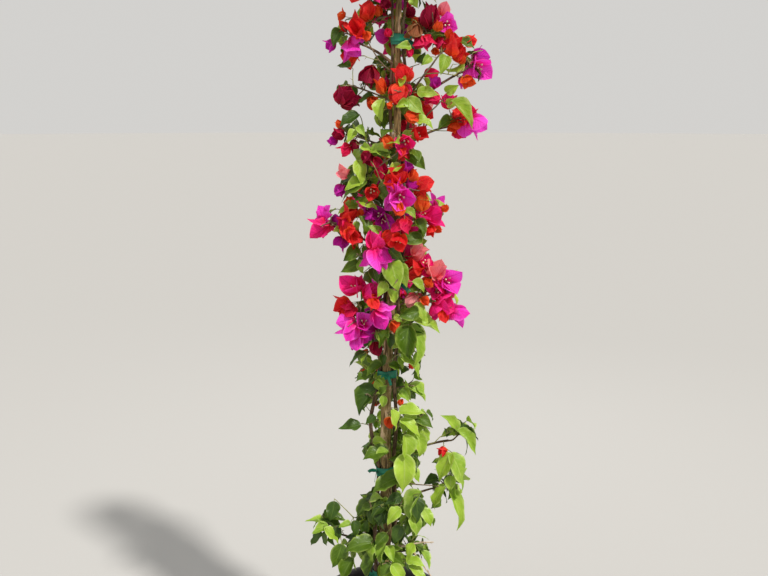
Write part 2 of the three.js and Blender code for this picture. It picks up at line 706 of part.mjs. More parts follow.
const bareObstacles = [
  pot,
  rootBall,
  dryTwig.grown,
  ...[...limbs.values()].map((limb) => limb.grown),
  ...[...boughs.values()].map((bough) => bough.grown),
  ...ties.map((tie) => tie.grown),
];
const fixed = bareObstacles.map(boxed);
const stemObstacles = masses.map((mass) => {
  const wide = stemRadius + 2 * gap;
  return boxed(solidOf(taper(stemOf(mass).curve, wide, wide, 6, 6)));
});

const plant = new THREE.Group();
plant.name = "bougainvillea_in_a_pot";

function place(name, solid, tint) {
  const [color, roughness] = colours[tint];
  const material = new THREE.MeshStandardMaterial({ color, roughness, metalness: 0 });
  const mesh = new THREE.Mesh(geometryOf(solid), material);
  mesh.name = name;
  plant.add(mesh);
}

place("pot", pot, "pot");
place("root_ball", rootBall, "soil");
for (const limb of limbs.values()) place(limb.name, limb.solid, "bark");
for (const bough of boughs.values()) place(bough.name, bough.solid, "bark");
place(dryTwig.name, dryTwig.solid, "dryWood");
for (const tie of ties) place(tie.name, tie.solid, "tape");
masses.forEach((mass, index) => {
  const others = stemObstacles.filter((_, i) => i !== index);
  place(mass.name, massSolid(mass, index, [...fixed, ...others]), mass.tint);
});

export default plant;
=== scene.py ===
import json

import bpy
import numpy as np
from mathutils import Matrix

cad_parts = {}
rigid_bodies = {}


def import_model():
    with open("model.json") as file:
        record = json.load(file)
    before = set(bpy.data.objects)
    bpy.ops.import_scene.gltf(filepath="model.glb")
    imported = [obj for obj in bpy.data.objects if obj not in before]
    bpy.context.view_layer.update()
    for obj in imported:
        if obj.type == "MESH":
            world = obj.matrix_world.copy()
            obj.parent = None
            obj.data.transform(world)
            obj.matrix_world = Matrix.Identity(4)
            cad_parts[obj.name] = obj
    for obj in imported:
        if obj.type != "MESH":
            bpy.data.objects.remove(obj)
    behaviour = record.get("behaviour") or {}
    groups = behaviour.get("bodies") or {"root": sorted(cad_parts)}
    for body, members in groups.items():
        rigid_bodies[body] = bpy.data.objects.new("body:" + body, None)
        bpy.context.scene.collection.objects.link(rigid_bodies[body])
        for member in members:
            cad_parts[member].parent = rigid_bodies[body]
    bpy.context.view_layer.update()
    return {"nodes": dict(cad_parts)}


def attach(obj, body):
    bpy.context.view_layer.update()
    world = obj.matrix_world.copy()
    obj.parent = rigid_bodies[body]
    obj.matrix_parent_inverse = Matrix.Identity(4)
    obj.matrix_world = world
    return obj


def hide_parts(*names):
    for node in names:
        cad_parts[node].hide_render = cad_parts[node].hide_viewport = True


# A potted bougainvillea trained as a slim column: bark, twigs, leaves and papery bracts over the packed
# frame. Lengths are in millimetres, and become metres when a mesh is made.
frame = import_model()
mm = 0.001
print("frame:", len(frame["nodes"]), "nodes")

# camera: where the photograph was taken from, in metres and degrees, with the focal length in pixels
shot = {"height": 1.70, "back": 1.958, "pitch": 12.5, "focal": 769.0, "sensor": 36.0, "size": (768, 576)}


def addObject(name, data):
    made = bpy.data.objects.new(name, data)
    bpy.context.scene.collection.objects.link(made)
    return made


camera = addObject("camera", bpy.data.cameras.new("camera"))
camera.data.sensor_width = shot["sensor"]
camera.data.lens = shot["focal"] * shot["sensor"] / shot["size"][0]
camera.location = (0, -shot["back"], shot["height"])
camera.rotation_euler = (np.radians(90 - shot["pitch"]), 0, 0)
bpy.context.scene.camera = camera


def atPixel(u, v, depth):
    # The point that pixel (u, v) shows on the upright plane y = depth, and how many mm a pixel spans there
    tilt = np.radians(shot["pitch"])
    across = (u - shot["size"][0] / 2) / shot["focal"]
    rise = (shot["size"][1] / 2 - v) / shot["focal"]
    far = (shot["back"] / mm + depth) / (np.cos(tilt) + rise * np.sin(tilt))
    height = shot["height"] / mm + (rise * np.cos(tilt) - np.sin(tilt)) * far
    return np.array([across * far, depth, height]), far / shot["focal"]


def onPicture(points):
    # the reverse: the pixel that shows each point, and how far in front of the camera it lies
    tilt = np.radians(shot["pitch"])
    depth = points[:, 1] + shot["back"] / mm
    rise = points[:, 2] - shot["height"] / mm
    far = depth * np.cos(tilt) - rise * np.sin(tilt)
    u = shot["size"][0] / 2 + points[:, 0] / far * shot["focal"]
    return u, shot["size"][1] / 2 - (depth * np.sin(tilt) + rise * np.cos(tilt)) / far * shot["focal"], far


# small tools
up = np.array([0.0, 0.0, 1.0])
dice = np.random.default_rng(11)
latticeSize = 32
lattice = np.random.default_rng(5).random((latticeSize,) * 3)


def unit(v):
    return v / np.maximum(np.linalg.norm(v, axis=-1, keepdims=True), 1e-9)


def lerp(a, b, share):
    return a + (b - a) * share


def smooth(value, low, high):
    share = np.clip((value - low) / (high - low), 0, 1)
    return share * share * (3 - 2 * share)


def chance(seed, turn):
    # the source's seeded share: the fraction left over of a large sine
    wave = np.sin(seed * 12.9898 + turn * 78.233) * 43758.5453
    return wave - np.floor(wave)


def noiseAt(points, cell):
    # values at the corners of a lattice of cells, blended by an S-curve in each direction: 0 to 1
    place = np.asarray(points) / np.asarray(cell, float) + 500.0
    base = np.floor(place).astype(int)
    share = place - base
    share = share * share * (3 - 2 * share)
    total = 0.0
    for corner in range(8):
        step = np.array([corner & 1, corner >> 1 & 1, corner >> 2])
        weight = np.prod(np.where(step == 1, share, 1 - share), axis=-1)
        x, y, z = np.moveaxis((base + step) % latticeSize, -1, 0)
        total = total + weight * lattice[x, y, z]
    return total


def shaken(points, cell, apart):
    # three noises from places that lie apart, as a shift of each point, from -0.5 to 0.5
    return np.stack([noiseAt(points + i * apart, (cell,) * 3) for i in range(3)], -1) - 0.5


def circle(count):
    return np.arange(count) / count * 2 * np.pi


def spin(first, second, angle):
    # the way at an angle from the first of two square ways towards the second
    return first * np.cos(angle) + second * np.sin(angle)


def swung(a, b, angle):
    # two coordinates of a plane, turned by an angle
    return a * np.cos(angle) - b * np.sin(angle), a * np.sin(angle) + b * np.cos(angle)


def squareTo(way):
    first = unit(np.cross(way, up + [0.01, 0, 0]))
    return first, np.cross(way, first)


def gridFaces(rows, columns, wraps=False):
    # quads between neighbouring rows and columns; a grid that wraps joins its last column to its first
    i, j = np.meshgrid(np.arange(rows - 1), np.arange(columns if wraps else columns - 1), indexing="ij")
    k = (j + 1) % columns
    quads = [i * columns + j, i * columns + k, (i + 1) * columns + k, (i + 1) * columns + j]
    return np.stack(quads, -1).reshape(-1, 4)


def closedFaces(rows, sides):
    # quads between rings, and triangles from the first and last ring to the two points that follow the rings
    j = np.arange(sides)
    k = (j + 1) % sides
    last = (rows - 1) * sides
    foot = np.stack([np.full(sides, rows * sides), k, j], -1)
    tip = np.stack([np.full(sides, rows * sides + 1), last + j, last + k], -1)
    return [gridFaces(rows, sides, True), np.vstack([foot, tip])]


def copies(faces, count, size):
    # the same faces for count shapes of size points each
    return (faces[None] + (np.arange(count) * size)[:, None, None]).reshape(-1, faces.shape[1])


def joined(parts):
    # several (points, faces) as one, where faces is a list of arrays of quads or triangles
    points, faces, start = [], [], 0
    for some, lists in parts:
        points.append(some)
        faces += [f + start for f in lists]
        start += len(some)
    return np.concatenate(points), faces


def addPiece(name, points, faces, material, nodes=(), slot=None, uv=None, fields=None):
    mesh = bpy.data.meshes.new(name)
    corners = np.concatenate([f.ravel() for f in faces]).astype(np.int32)
    sizes = np.concatenate([np.full(len(f), f.shape[1]) for f in faces])
    starts = np.concatenate([[0], np.cumsum(sizes)[:-1]]).astype(np.int32)
    mesh.vertices.add(len(points))
    mesh.vertices.foreach_set("co", (points * mm).astype(np.float32).ravel())
    mesh.loops.add(len(corners))
    mesh.loops.foreach_set("vertex_index", corners)
    mesh.polygons.add(len(sizes))
    mesh.polygons.foreach_set("loop_start", starts)
    mesh.update(calc_edges=True)
    mesh.shade_smooth()
    if uv is not None:
        mesh.uv_layers.new(name="UVMap").data.foreach_set("uv", uv[corners].astype(np.float32).ravel())
    for field, values in (fields or {}).items():
        mesh.attributes.new(field, "FLOAT", "POINT").data.foreach_set("value", values.astype(np.float32))
    mesh.materials.append(material)
    piece = addObject(name, mesh)
    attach(piece, "root")
    if nodes:
        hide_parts(*nodes)
    return piece


def bezier(start, bend, end, steps):
    # n curves at once: (n, steps, 3), each pulled from its chord towards its bend
    t = np.linspace(0, 1, steps)[None, :, None]
    start, bend, end = (np.atleast_2d(p)[:, None, :] for p in (start, bend, end))
    return (1 - t) ** 2 * start + 2 * t * (1 - t) * bend + t**2 * end


def throughPoints(points, steps):
    # a curve through the points: between two of them a cubic whose slope at each is half the step over it
    p = np.asarray(points, float)
    p = np.vstack([2 * p[0] - p[1], p, 2 * p[-1] - p[-2]])
    place = np.linspace(0, len(p) - 3, steps)
    i = np.minimum(place.astype(int), len(p) - 4)
    t = (place - i)[:, None]
    a, b, c, d = p[i], p[i + 1], p[i + 2], p[i + 3]
    return 0.5 * (2 * b + (c - a) * t + (2 * a - 5 * b + 4 * c - d) * t**2 + (3 * b - a - 3 * c + d) * t**3)


def pathSpot(path, share):
    # the point at a share of a path, and the way that the path runs there
    at = share * (len(path) - 1)
    i = min(int(at), len(path) - 2)
    return path[i] + (path[i + 1] - path[i]) * (at - i), unit(path[i + 1] - path[i])


def ringFrames(paths, side=None):
    # two directions square to each path, carried along it without twist: (n, k, 3) each
    ways = unit(np.gradient(paths, axis=1))
    if side is None:
        side = np.where(np.abs(ways[:, 0, 2:3]) > 0.9, [[1.0, 0, 0]], [[0, 0, 1.0]])
    first = []
    for way in np.moveaxis(ways, 1, 0):
        side = unit(side - np.sum(side * way, -1, keepdims=True) * way)
        first.append(side)
    first = np.stack(first, 1)
    return first, np.cross(ways, first)


def tubes(paths, radii, sides, flat=1.0, side=None):
    # A ring of points square to each path at each of its points; flat squeezes the ring in one direction.
    # Each end is closed to a point on the path.
    count, steps, _ = paths.shape
    u, v = ringFrames(paths, side)
    angle = circle(sides)[:, None]
    around = u[:, :, None] * np.cos(angle) + v[:, :, None] * np.sin(angle) * flat
    rings = paths[:, :, None] + around * radii[:, :, None, None]
    points = np.concatenate([rings.reshape(count, -1, 3), paths[:, :1], paths[:, -1:]], 1)
    faces = [copies(some, count, steps * sides + 2) for some in closedFaces(steps, sides)]
    return points.reshape(-1, 3), faces


def taper(low, high, steps):
    # radii that go evenly from each low one to its high one
    share = np.linspace(0, 1, steps)[None]
    return low[:, None] * (1 - share) + high[:, None] * share


# materials
def addNode(tree, kind, inputs=None, **settings):
    made = tree.nodes.new(kind)
    for name, value in settings.items():
        setattr(made, name, value)
    for name, value in (inputs or {}).items():
        if isinstance(value, bpy.types.NodeSocket):
            tree.links.new(value, made.inputs[name])
        else:
            made.inputs[name].default_value = value
    return made


def maths(tree, operation, a, b=0.0):
    return addNode(tree, "ShaderNodeMath", {0: a, 1: b}, operation=operation).outputs[0]


def times(tree, a, b):
    return maths(tree, "MULTIPLY", a, b)


def plus(tree, a, b):
    return maths(tree, "ADD", a, b)


def ramp(tree, value, low, high, toLow=0.0, toHigh=1.0):
    names = {"Value": value, "From Min": low, "From Max": high, "To Min": toLow, "To Max": toHigh}
    return addNode(tree, "ShaderNodeMapRange", names, interpolation_type="SMOOTHSTEP").outputs["Result"]


def blend(tree, share, a, b):
    # sockets 0, 6 and 7 of a Mix node are its share and its two colours
    a, b = (c if isinstance(c, bpy.types.NodeSocket) else (*c, 1.0) for c in (a, b))
    return addNode(tree, "ShaderNodeMix", {0: share, 6: a, 7: b}, data_type="RGBA").outputs[2]


def tinted(tree, colour, mask, share, tint):
    # the colour with a share of a tint laid over it where the mask is
    return blend(tree, times(tree, mask, share), colour, tint)


def newGroup(name, inputs, outputs):
    group = bpy.data.node_groups.new(name, "ShaderNodeTree")
    for label, value in inputs.items():
        kind = "NodeSocketVector" if value is None else "NodeSocketFloat"
        socket = group.interface.new_socket(label, in_out="INPUT", socket_type=kind)
        if value is not None:
            socket.default_value = value
    for label in outputs:
        group.interface.new_socket(label, in_out="OUTPUT", socket_type="NodeSocketFloat")
    return group, group.nodes.new("NodeGroupInput").outputs, group.nodes.new("NodeGroupOutput").inputs


def patchGroup():
    # patches of noise: a mask that rises where the noise passes from low to high
    inputs = {"Vector": None, "Scale": 20.0, "Detail": 4.0, "Low": 0.4, "High": 0.6}
    group, given, out = newGroup("patches", inputs, ["Mask", "Noise"])
    noise = {label: given[label] for label in ("Vector", "Scale", "Detail")}
    noise = addNode(group, "ShaderNodeTexNoise", noise).outputs["Fac"]
    group.links.new(ramp(group, noise, given["Low"], given["High"]), out["Mask"])
    group.links.new(noise, out["Noise"])
    return group


def bladeGroup():
    # marks on a blade from its own UV: u runs from edge to edge, v from foot to tip
    inputs = {"Vector": None, "Veins": 7.0, "Slant": 2.6, "Sway": 0.5}
    group, given, out = newGroup("bladeMarks", inputs, ["Midrib", "Veins", "Edge", "Foot", "Relief"])
    parts = addNode(group, "ShaderNodeSeparateXYZ", {0: given["Vector"]}).outputs
    offset = times(group, maths(group, "ABSOLUTE", maths(group, "SUBTRACT", parts[0], 0.5)), 2.0)
    midrib = ramp(group, offset, 0.03, 0.1, 1.0, 0.0)
    climb = plus(group, times(group, parts[1], given["Veins"]), given["Sway"])
    slide = times(group, maths(group, "POWER", offset, 0.8), given["Slant"])
    wave = maths(group, "FRACT", maths(group, "SUBTRACT", climb, slide))
    line = maths(group, "ABSOLUTE", maths(group, "SUBTRACT", wave, 0.5))
    veins = times(group, ramp(group, line, 0.02, 0.16, 1.0, 0.0), ramp(group, offset, 0.7, 1.0, 1.0, 0.2))
    group.links.new(midrib, out["Midrib"])
    group.links.new(veins, out["Veins"])
    group.links.new(ramp(group, offset, 0.72, 1.0), out["Edge"])
    group.links.new(ramp(group, parts[1], 0.0, 0.45, 1.0, 0.0), out["Foot"])
    ribs = plus(group, midrib, times(group, veins, 0.7))
    group.links.new(maths(group, "SUBTRACT", 0.0, ribs), out["Relief"])
    return group


patches = patchGroup()
bladeMarks = bladeGroup()


def startMaterial(name, shine):
    # a material with a Principled shader, and the object's own coordinates for its patterns
    material = bpy.data.materials.new(name)
    material.use_nodes = True
    tree = material.node_tree
    shader = tree.nodes["Principled BSDF"]
    shader.inputs["Specular IOR Level"].default_value = shine
    return material, tree, shader, addNode(tree, "ShaderNodeTexCoord").outputs["Object"]


def stretched(tree, vector, scale):
    return addNode(tree, "ShaderNodeMapping", {"Vector": vector, "Scale": scale}).outputs["Vector"]


def patchOf(tree, vector, scale, low=0.4, high=0.6, detail=4.0):
    inputs = {"Vector": vector, "Scale": scale, "Detail": detail, "Low": low, "High": high}
    return addNode(tree, "ShaderNodeGroup", inputs, node_tree=patches).outputs


def finish(tree, shader, colour, roughness, height, strength, distance):
    if colour is not None:
        tree.links.new(colour, shader.inputs["Base Color"])
    tree.links.new(roughness, shader.inputs["Roughness"])
    bump = addNode(tree, "ShaderNodeBump", {"Height": height, "Strength": strength, "Distance": distance})
    tree.links.new(bump.outputs["Normal"], shader.inputs["Normal"])


def bladeMaterial(name, look):
    # A leaf or bract: darker or paler midrib and veins, a paler edge (on a leaf partly a pale margin and
    # partly painted rim light, on a bract a painted sheen), light that comes through from behind
    material, tree, shader, place = startMaterial(name, look["shine"])
    mottle = patchOf(tree, place, look["mottle"], 0.35, 0.65)
    noise = mottle["Noise"]
    ownUv = addNode(tree, "ShaderNodeUVMap", uv_map="UVMap").outputs["UV"]
    inputs = {"Vector": ownUv, "Veins": look["veinCount"], "Sway": times(tree, noise, look["sway"])}
    marks = addNode(tree, "ShaderNodeGroup", inputs, node_tree=bladeMarks).outputs
    tone = addNode(tree, "ShaderNodeAttribute", attribute_name="tone").outputs["Fac"]
    colour = blend(tree, tone, look["dark"], look["light"])
    colour = tinted(tree, colour, mottle["Mask"], 0.3, look["tint"])
    colour = tinted(tree, colour, marks["Foot"], look["footShare"], look["foot"])
    veins = times(tree, marks["Veins"], ramp(tree, noise, 0.3, 0.7, 0.35, 1.0))
    colour = tinted(tree, colour, veins, look["veinShare"], look["vein"])
    colour = tinted(tree, colour, marks["Midrib"], look["ribShare"], look["vein"])
    # the paler edge: on a leaf partly a pale margin and partly painted rim light, on a bract a painted sheen
    paleMarginAndSheen = times(tree, marks["Edge"], ramp(tree, noise, 0.35, 0.6, 0.25, 1.0))
    colour = tinted(tree, colour, paleMarginAndSheen, look["paleMarginAndSheenShare"], look["edge"])
    roughness = ramp(tree, noise, 0.2, 0.8, look["rough"] - 0.08, look["rough"] + 0.1)
    fine = patchOf(tree, place, look["crinkle"], 0.2, 0.8, 2.0)["Noise"]
    height = plus(tree, marks["Relief"], times(tree, fine, look["crinkleDepth"]))
    finish(tree, shader, colour, roughness, height, look["relief"], 0.0012)
    through = addNode(tree, "ShaderNodeBsdfTranslucent", {"Color": colour})
    both = {0: look["through"], 1: shader.outputs[0], 2: through.outputs[0]}
    both = addNode(tree, "ShaderNodeMixShader", both)
    tree.links.new(both.outputs[0], tree.nodes["Material Output"].inputs["Surface"])
    return material


# the share and colour of the paler edge: on leaves partly a pale margin and partly painted rim light, on
# bracts a painted sheen
leafLook = dict(shine=0.4, veinCount=6.0, mottle=60.0, footShare=0.25, veinShare=0.3, ribShare=0.5, sway=1.5,
                paleMarginAndSheenShare=0.5, rough=0.4, crinkle=170.0, crinkleDepth=1.1, relief=0.45, through=0.3)
bractLook = dict(shine=0.2, veinCount=8.0, mottle=45.0, footShare=0.85, veinShare=0.42, ribShare=0.42,
                 sway=3.0, paleMarginAndSheenShare=0.3, rough=0.6, crinkle=190.0, crinkleDepth=1.7, relief=0.7,
                 through=0.42)
# leaf tints: the palest is the yellow-green of sunlit leaves, painted light; the two darker ones are partly
# the leaves' own darker green and partly painted shade
leafTints = {
    "lime": dict(dark=(0.18, 0.33, 0.018), light=(0.35, 0.53, 0.036), tint=(0.48, 0.6, 0.08),
                 foot=(0.2, 0.35, 0.03), vein=(0.46, 0.58, 0.14), edge=(0.68, 0.76, 0.3)),
    "green": dict(dark=(0.04, 0.088, 0.003), light=(0.085, 0.16, 0.006), tint=(0.125, 0.21, 0.01),
                  foot=(0.04, 0.09, 0.005), vein=(0.16, 0.26, 0.03), edge=(0.4, 0.5, 0.1)),
    "deep": dict(dark=(0.024, 0.062, 0.006), light=(0.048, 0.105, 0.008), tint=(0.07, 0.125, 0.01),
                 foot=(0.024, 0.06, 0.006), vein=(0.1, 0.17, 0.025), edge=(0.17, 0.25, 0.035)),
}
# two bract tints stand for shade: the purple is magenta darkened for bracts deep in the crown and the dark
# red is crimson in shade, both painted shade
bractTints = {
    "magenta": dict(dark=(0.82, 0.009, 0.4), light=(0.98, 0.08, 0.7), tint=(0.9, 0.12, 0.86),
                    foot=(0.86, 0.01, 0.14), vein=(0.62, 0.003, 0.3), edge=(1.0, 0.34, 0.92)),
    "rose": dict(dark=(0.82, 0.008, 0.13), light=(0.95, 0.03, 0.28), tint=(0.92, 0.03, 0.42),
                 foot=(0.82, 0.014, 0.03), vein=(0.52, 0.002, 0.08), edge=(0.98, 0.14, 0.5)),
    "violet": dict(dark=(0.48, 0.006, 0.28), light=(0.74, 0.03, 0.52), tint=(0.58, 0.016, 0.48),
                   foot=(0.5, 0.004, 0.13), vein=(0.26, 0.002, 0.17), edge=(0.7, 0.1, 0.6)),
    "pink": dict(dark=(0.92, 0.2, 0.22), light=(0.98, 0.44, 0.42), tint=(0.97, 0.28, 0.44),
                 foot=(0.88, 0.13, 0.14), vein=(0.72, 0.06, 0.12), edge=(0.98, 0.54, 0.55)),
    "crimson": dict(dark=(0.6, 0.005, 0.05), light=(0.86, 0.015, 0.1), tint=(0.8, 0.01, 0.18),
                    foot=(0.66, 0.01, 0.015), vein=(0.38, 0.002, 0.03), edge=(0.92, 0.1, 0.24)),
    "scarlet": dict(dark=(0.68, 0.012, 0.012), light=(0.9, 0.045, 0.03), tint=(0.88, 0.02, 0.08),
                    foot=(0.84, 0.08, 0.01), vein=(0.46, 0.006, 0.008), edge=(0.95, 0.17, 0.11)),
    "orange": dict(dark=(0.72, 0.055, 0.01), light=(0.9, 0.14, 0.025), tint=(0.86, 0.06, 0.02),
                   foot=(0.66, 0.16, 0.02), vein=(0.55, 0.03, 0.006), edge=(0.95, 0.26, 0.07)),
    "wine": dict(dark=(0.25, 0.003, 0.022), light=(0.44, 0.007, 0.05), tint=(0.4, 0.005, 0.075),
                 foot=(0.3, 0.004, 0.012), vein=(0.13, 0.001, 0.01), edge=(0.58, 0.03, 0.1)),
    "withered": dict(dark=(0.22, 0.09, 0.025), light=(0.48, 0.26, 0.09), tint=(0.42, 0.07, 0.05),
                     foot=(0.26, 0.06, 0.02), vein=(0.1, 0.04, 0.014), edge=(0.62, 0.46, 0.24)),
}
bractSlots = {"magenta": "bract_magenta", "violet": "bract_magenta", "pink": "bract_magenta",
              "orange": "bract_orange"}


def barkMaterial(name, look):
    # Bark: streaks along the limb, painted shade in the grooves of the mesh's own relief, pale places where
    # it has peeled
    material, tree, shader, place = startMaterial(name, 0.25)
    long = stretched(tree, place, (1.0, 1.0, 0.16))
    streaks = patchOf(tree, long, look["streaks"], 0.3, 0.7)
    grain = patchOf(tree, long, look["streaks"] * 4, 0.35, 0.65)
    peeled = patchOf(tree, stretched(tree, place, (1.0, 1.0, 0.3)), look["peelScale"], 0.54, 0.61)
    grooveShade = addNode(tree, "ShaderNodeAttribute", attribute_name="grooveShade").outputs["Fac"]
    colour = blend(tree, streaks["Mask"], look["dark"], look["light"])
    colour = tinted(tree, colour, grain["Mask"], 0.35, look["warm"])
    colour = tinted(tree, colour, peeled["Mask"], look["peeled"], look["pale"])
    # painted shade: darker where the bark lies deep in its grooves
    colour = blend(tree, ramp(tree, grooveShade, 0.3, 0.9, 0.0, 0.8), colour, look["deep"])
    height = plus(tree, streaks["Noise"], times(tree, grain["Noise"], 0.5))
    finish(tree, shader, colour, ramp(tree, streaks["Noise"], 0.2, 0.8, 0.72, 0.92), height, 0.55, 0.0016)
    return material


def plainMaterial(name, look):
    # A finish with two tones in patches, fine grain and a soft bump
    material, tree, shader, place = startMaterial(name, look["shine"])
    broad = patchOf(tree, place, look["broad"], 0.35, 0.65)
    fine = patchOf(tree, place, look["fine"], 0.3, 0.7)
    colour = blend(tree, broad["Mask"], look["dark"], look["light"])
    colour = tinted(tree, colour, fine["Mask"], look["fineShare"], look["fleck"])
    roughness = ramp(tree, fine["Noise"], 0.2, 0.8, *look["rough"])
    finish(tree, shader, colour, roughness, fine["Noise"], look["bump"], look.get("depth", 0.0006))
    return material


# the pot
pot = {"height": 345, "rim": 195, "foot": 158, "wall": 4, "rimDrop": 24, "overhang": 9, "step": 285,
       "stepDepth": 2.5, "holes": 6, "holeRadius": 11, "holeHeight": 21, "segments": 144, "crease": 40}


def potWall(z):
    return lerp(pot["foot"], pot["rim"] - pot["overhang"], z / pot["height"])


def turned(profile, segments):
    # a profile of (radius, height) carried round the upright axis, its two ends on the axis closed to a point
    profile = np.asarray(profile, float)
    angle = circle(segments)
    ring = profile[1:-1]
    x, y = ring[:, :1] * np.cos(angle), ring[:, :1] * np.sin(angle)
    rings = np.stack([x, y, np.repeat(ring[:, 1:], segments, 1)], -1).reshape(-1, 3)
    points = np.vstack([rings, [[0, 0, profile[0, 1]], [0, 0, profile[-1, 1]]]])
    return points, closedFaces(len(ring), segments)


def potMaterial():
    # Moulded black plastic: dust towards the foot and on the rim, pale scuffs, a fine pebbled bump
    material, tree, shader, place = startMaterial("potPlastic", 0.45)
    height = addNode(tree, "ShaderNodeSeparateXYZ", {0: place}).outputs["Z"]
    dust = patchOf(tree, place, 9.0, 0.35, 0.75, 6.0)
    scuff = patchOf(tree, stretched(tree, place, (1.0, 1.0, 0.25)), 42.0, 0.62, 0.78)
    pebble = patchOf(tree, place, 900.0, 0.3, 0.7, 2.0)
    low = ramp(tree, height, 0.0, 0.16, 0.6, 0.1)
    rim = ramp(tree, height, 0.318, 0.345, 0.0, 0.35)
    dusty = times(tree, dust["Mask"], plus(tree, low, rim))
    colour = blend(tree, dust["Mask"], (0.012, 0.0125, 0.014), (0.02, 0.021, 0.023))
    colour = blend(tree, dusty, colour, (0.12, 0.1, 0.08))
    colour = tinted(tree, colour, scuff["Mask"], 0.22, (0.085, 0.082, 0.078))
    roughness = plus(tree, ramp(tree, dust["Noise"], 0.2, 0.8, 0.34, 0.5), times(tree, dusty, 0.3))
    bumps = plus(tree, pebble["Noise"], times(tree, scuff["Noise"], 0.6))
    finish(tree, shader, colour, roughness, bumps, 0.18, 0.0005)
    return material


def buildPot():
    # The profile runs from the middle of the foot up the wall, over the rolled rim and down the inside.
    # The wall leans in by a step under the rim, and a bead goes round it near the foot.
    foot = [(0, 2.5), (120, 2.5), (124, 0.4), (128, 0), (150, 0), (154.5, 0.5), (157, 2.4), (158, 6)]
    wall = [(potWall(z) - pot["stepDepth"] * z / pot["step"] + (0.9 if z in (45, 48) else 0), z)
            for z in (20, 42, 45, 48, 51, 70, 130, 190, 240, 262)]
    wall += [(potWall(282) - pot["stepDepth"], 280), (potWall(282) - 2.3, 282), (potWall(285) - 0.4, 284.6)]
    wall += [(potWall(z), z) for z in (286, 289, 305, 318)]
    lip, rim = pot["height"] - pot["rimDrop"], pot["rim"]
    roll = [(potWall(lip) + 0.6, lip), (rim - 3, lip - 0.2), (rim - 0.9, lip + 0.7), (rim, lip + 3)]
    roll += [(rim, lip + 12), (rim - 0.1, 338), (rim - 1, 341.6), (rim - 2.8, 344), (rim - 5, 345)]
    roll += [(rim - 9, 344.9), (rim - 11.6, 344)]
    inner = [(potWall(z) - pot["wall"] - pot["stepDepth"] * 0.4, z) for z in (341, 330, 300, 200, 100, 20, 8)]
    points, faces = turned(foot + wall + roll + inner + [(150, 6), (0, 6)], pot["segments"])
    plastic = potMaterial()
    shell = addPiece("pot_shell", points, faces, plastic, ["pot"], "pot_plastic")
    cutters = []
    for i in range(pot["holes"]):
        turn = (i + 0.5) / pot["holes"] * 2 * np.pi
        way = np.array([np.cos(turn), np.sin(turn), 0])
        path = np.array([way * (pot["foot"] - 30), way * (pot["foot"] + 30)]) + up * pot["holeHeight"]
        cutters.append(tubes(path[None], np.full((1, 2), float(pot["holeRadius"])), 24))
    cutter = addPiece("cutter", *joined(cutters), plastic)
    cut = shell.modifiers.new("holes", "BOOLEAN")
    cut.object = cutter
    cut.solver = "EXACT"
    made = bpy.data.meshes.new_from_object(shell.evaluated_get(bpy.context.evaluated_depsgraph_get()))
    shell.modifiers.clear()
    shell.data = made
    bpy.data.objects.remove(cutter)
    made.shade_smooth()
    shell.modifiers.new("crispEdges", "EDGE_SPLIT").split_angle = np.radians(pot["crease"])


buildPot()
print("pot: done")

# the potting mix, and the bark chips and perlite grains on it
soil = {"top": 312, "slope": 14, "flat": 48, "radius": 182, "rings": 46, "segments": 120, "rough": 3.2,
        "fine": 1.6}
soilLook = dict(dark=(0.03, 0.017, 0.01), light=(0.1, 0.06, 0.036), fleck=(0.2, 0.14, 0.09), broad=60.0,
                fine=420.0, fineShare=0.5, rough=(0.85, 1.0), bump=0.8, depth=0.002, shine=0.15)
chips = {"count": 620, "small": (6, 3, 1.5), "large": (19, 8, 4), "seed": 3}
chipLook = dict(dark=(0.07, 0.035, 0.018), light=(0.2, 0.11, 0.06), fleck=(0.34, 0.23, 0.14), broad=40.0,
                fine=300.0, fineShare=0.4, rough=(0.8, 0.95), bump=0.5, shine=0.2)
grains = {"count": 150, "small": (2, 2, 1.6), "large": (4.2, 4, 3.2), "seed": 4}
grainLook = dict(dark=(0.5, 0.48, 0.44), light=(0.72, 0.7, 0.66), fleck=(0.36, 0.33, 0.28), broad=200.0,
                 fine=700.0, fineShare=0.4, rough=(0.85, 0.95), bump=0.4, shine=0.2)


def soilHeight(x, y):
    # flat in the middle, then sloping to the wall, with lumps of two sizes
    share = (np.hypot(x, y) - soil["flat"]) / (soil["radius"] - soil["flat"])
    level = soil["top"] - soil["slope"] * np.clip(share, 0, 1)
    where = np.stack([x, y, np.zeros_like(x)], -1)
    level = level + soil["rough"] * (noiseAt(where, (16, 16, 16)) - 0.4)
    return level + soil["fine"] * (noiseAt(where, (5, 5, 5)) - 0.5)


def buildSoil():
    # from the middle of the pot's floor up beside its wall, then in over the top in rings
    top = np.linspace(0, 1, soil["rings"]) ** 0.8 * (potWall(298) - 5.5)
    profile = [(0, 6.4), (150, 6.4)]
    profile += [(potWall(z) - gap, z) for z, gap in ((60, 7.5), (180, 7), (270, 6.5), (292, 6))]
    profile += [(r, soil["top"]) for r in top[::-1]]
    points, faces = turned(profile, soil["segments"])
    upper = points[:, 2] > soil["top"] - 0.5
    points[upper, 2] = soilHeight(points[upper, 0], points[upper, 1])
    material = plainMaterial("pottingMix", soilLook)
    addPiece("potting_mix", points, faces, material, ["root_ball"], "potting_mix")


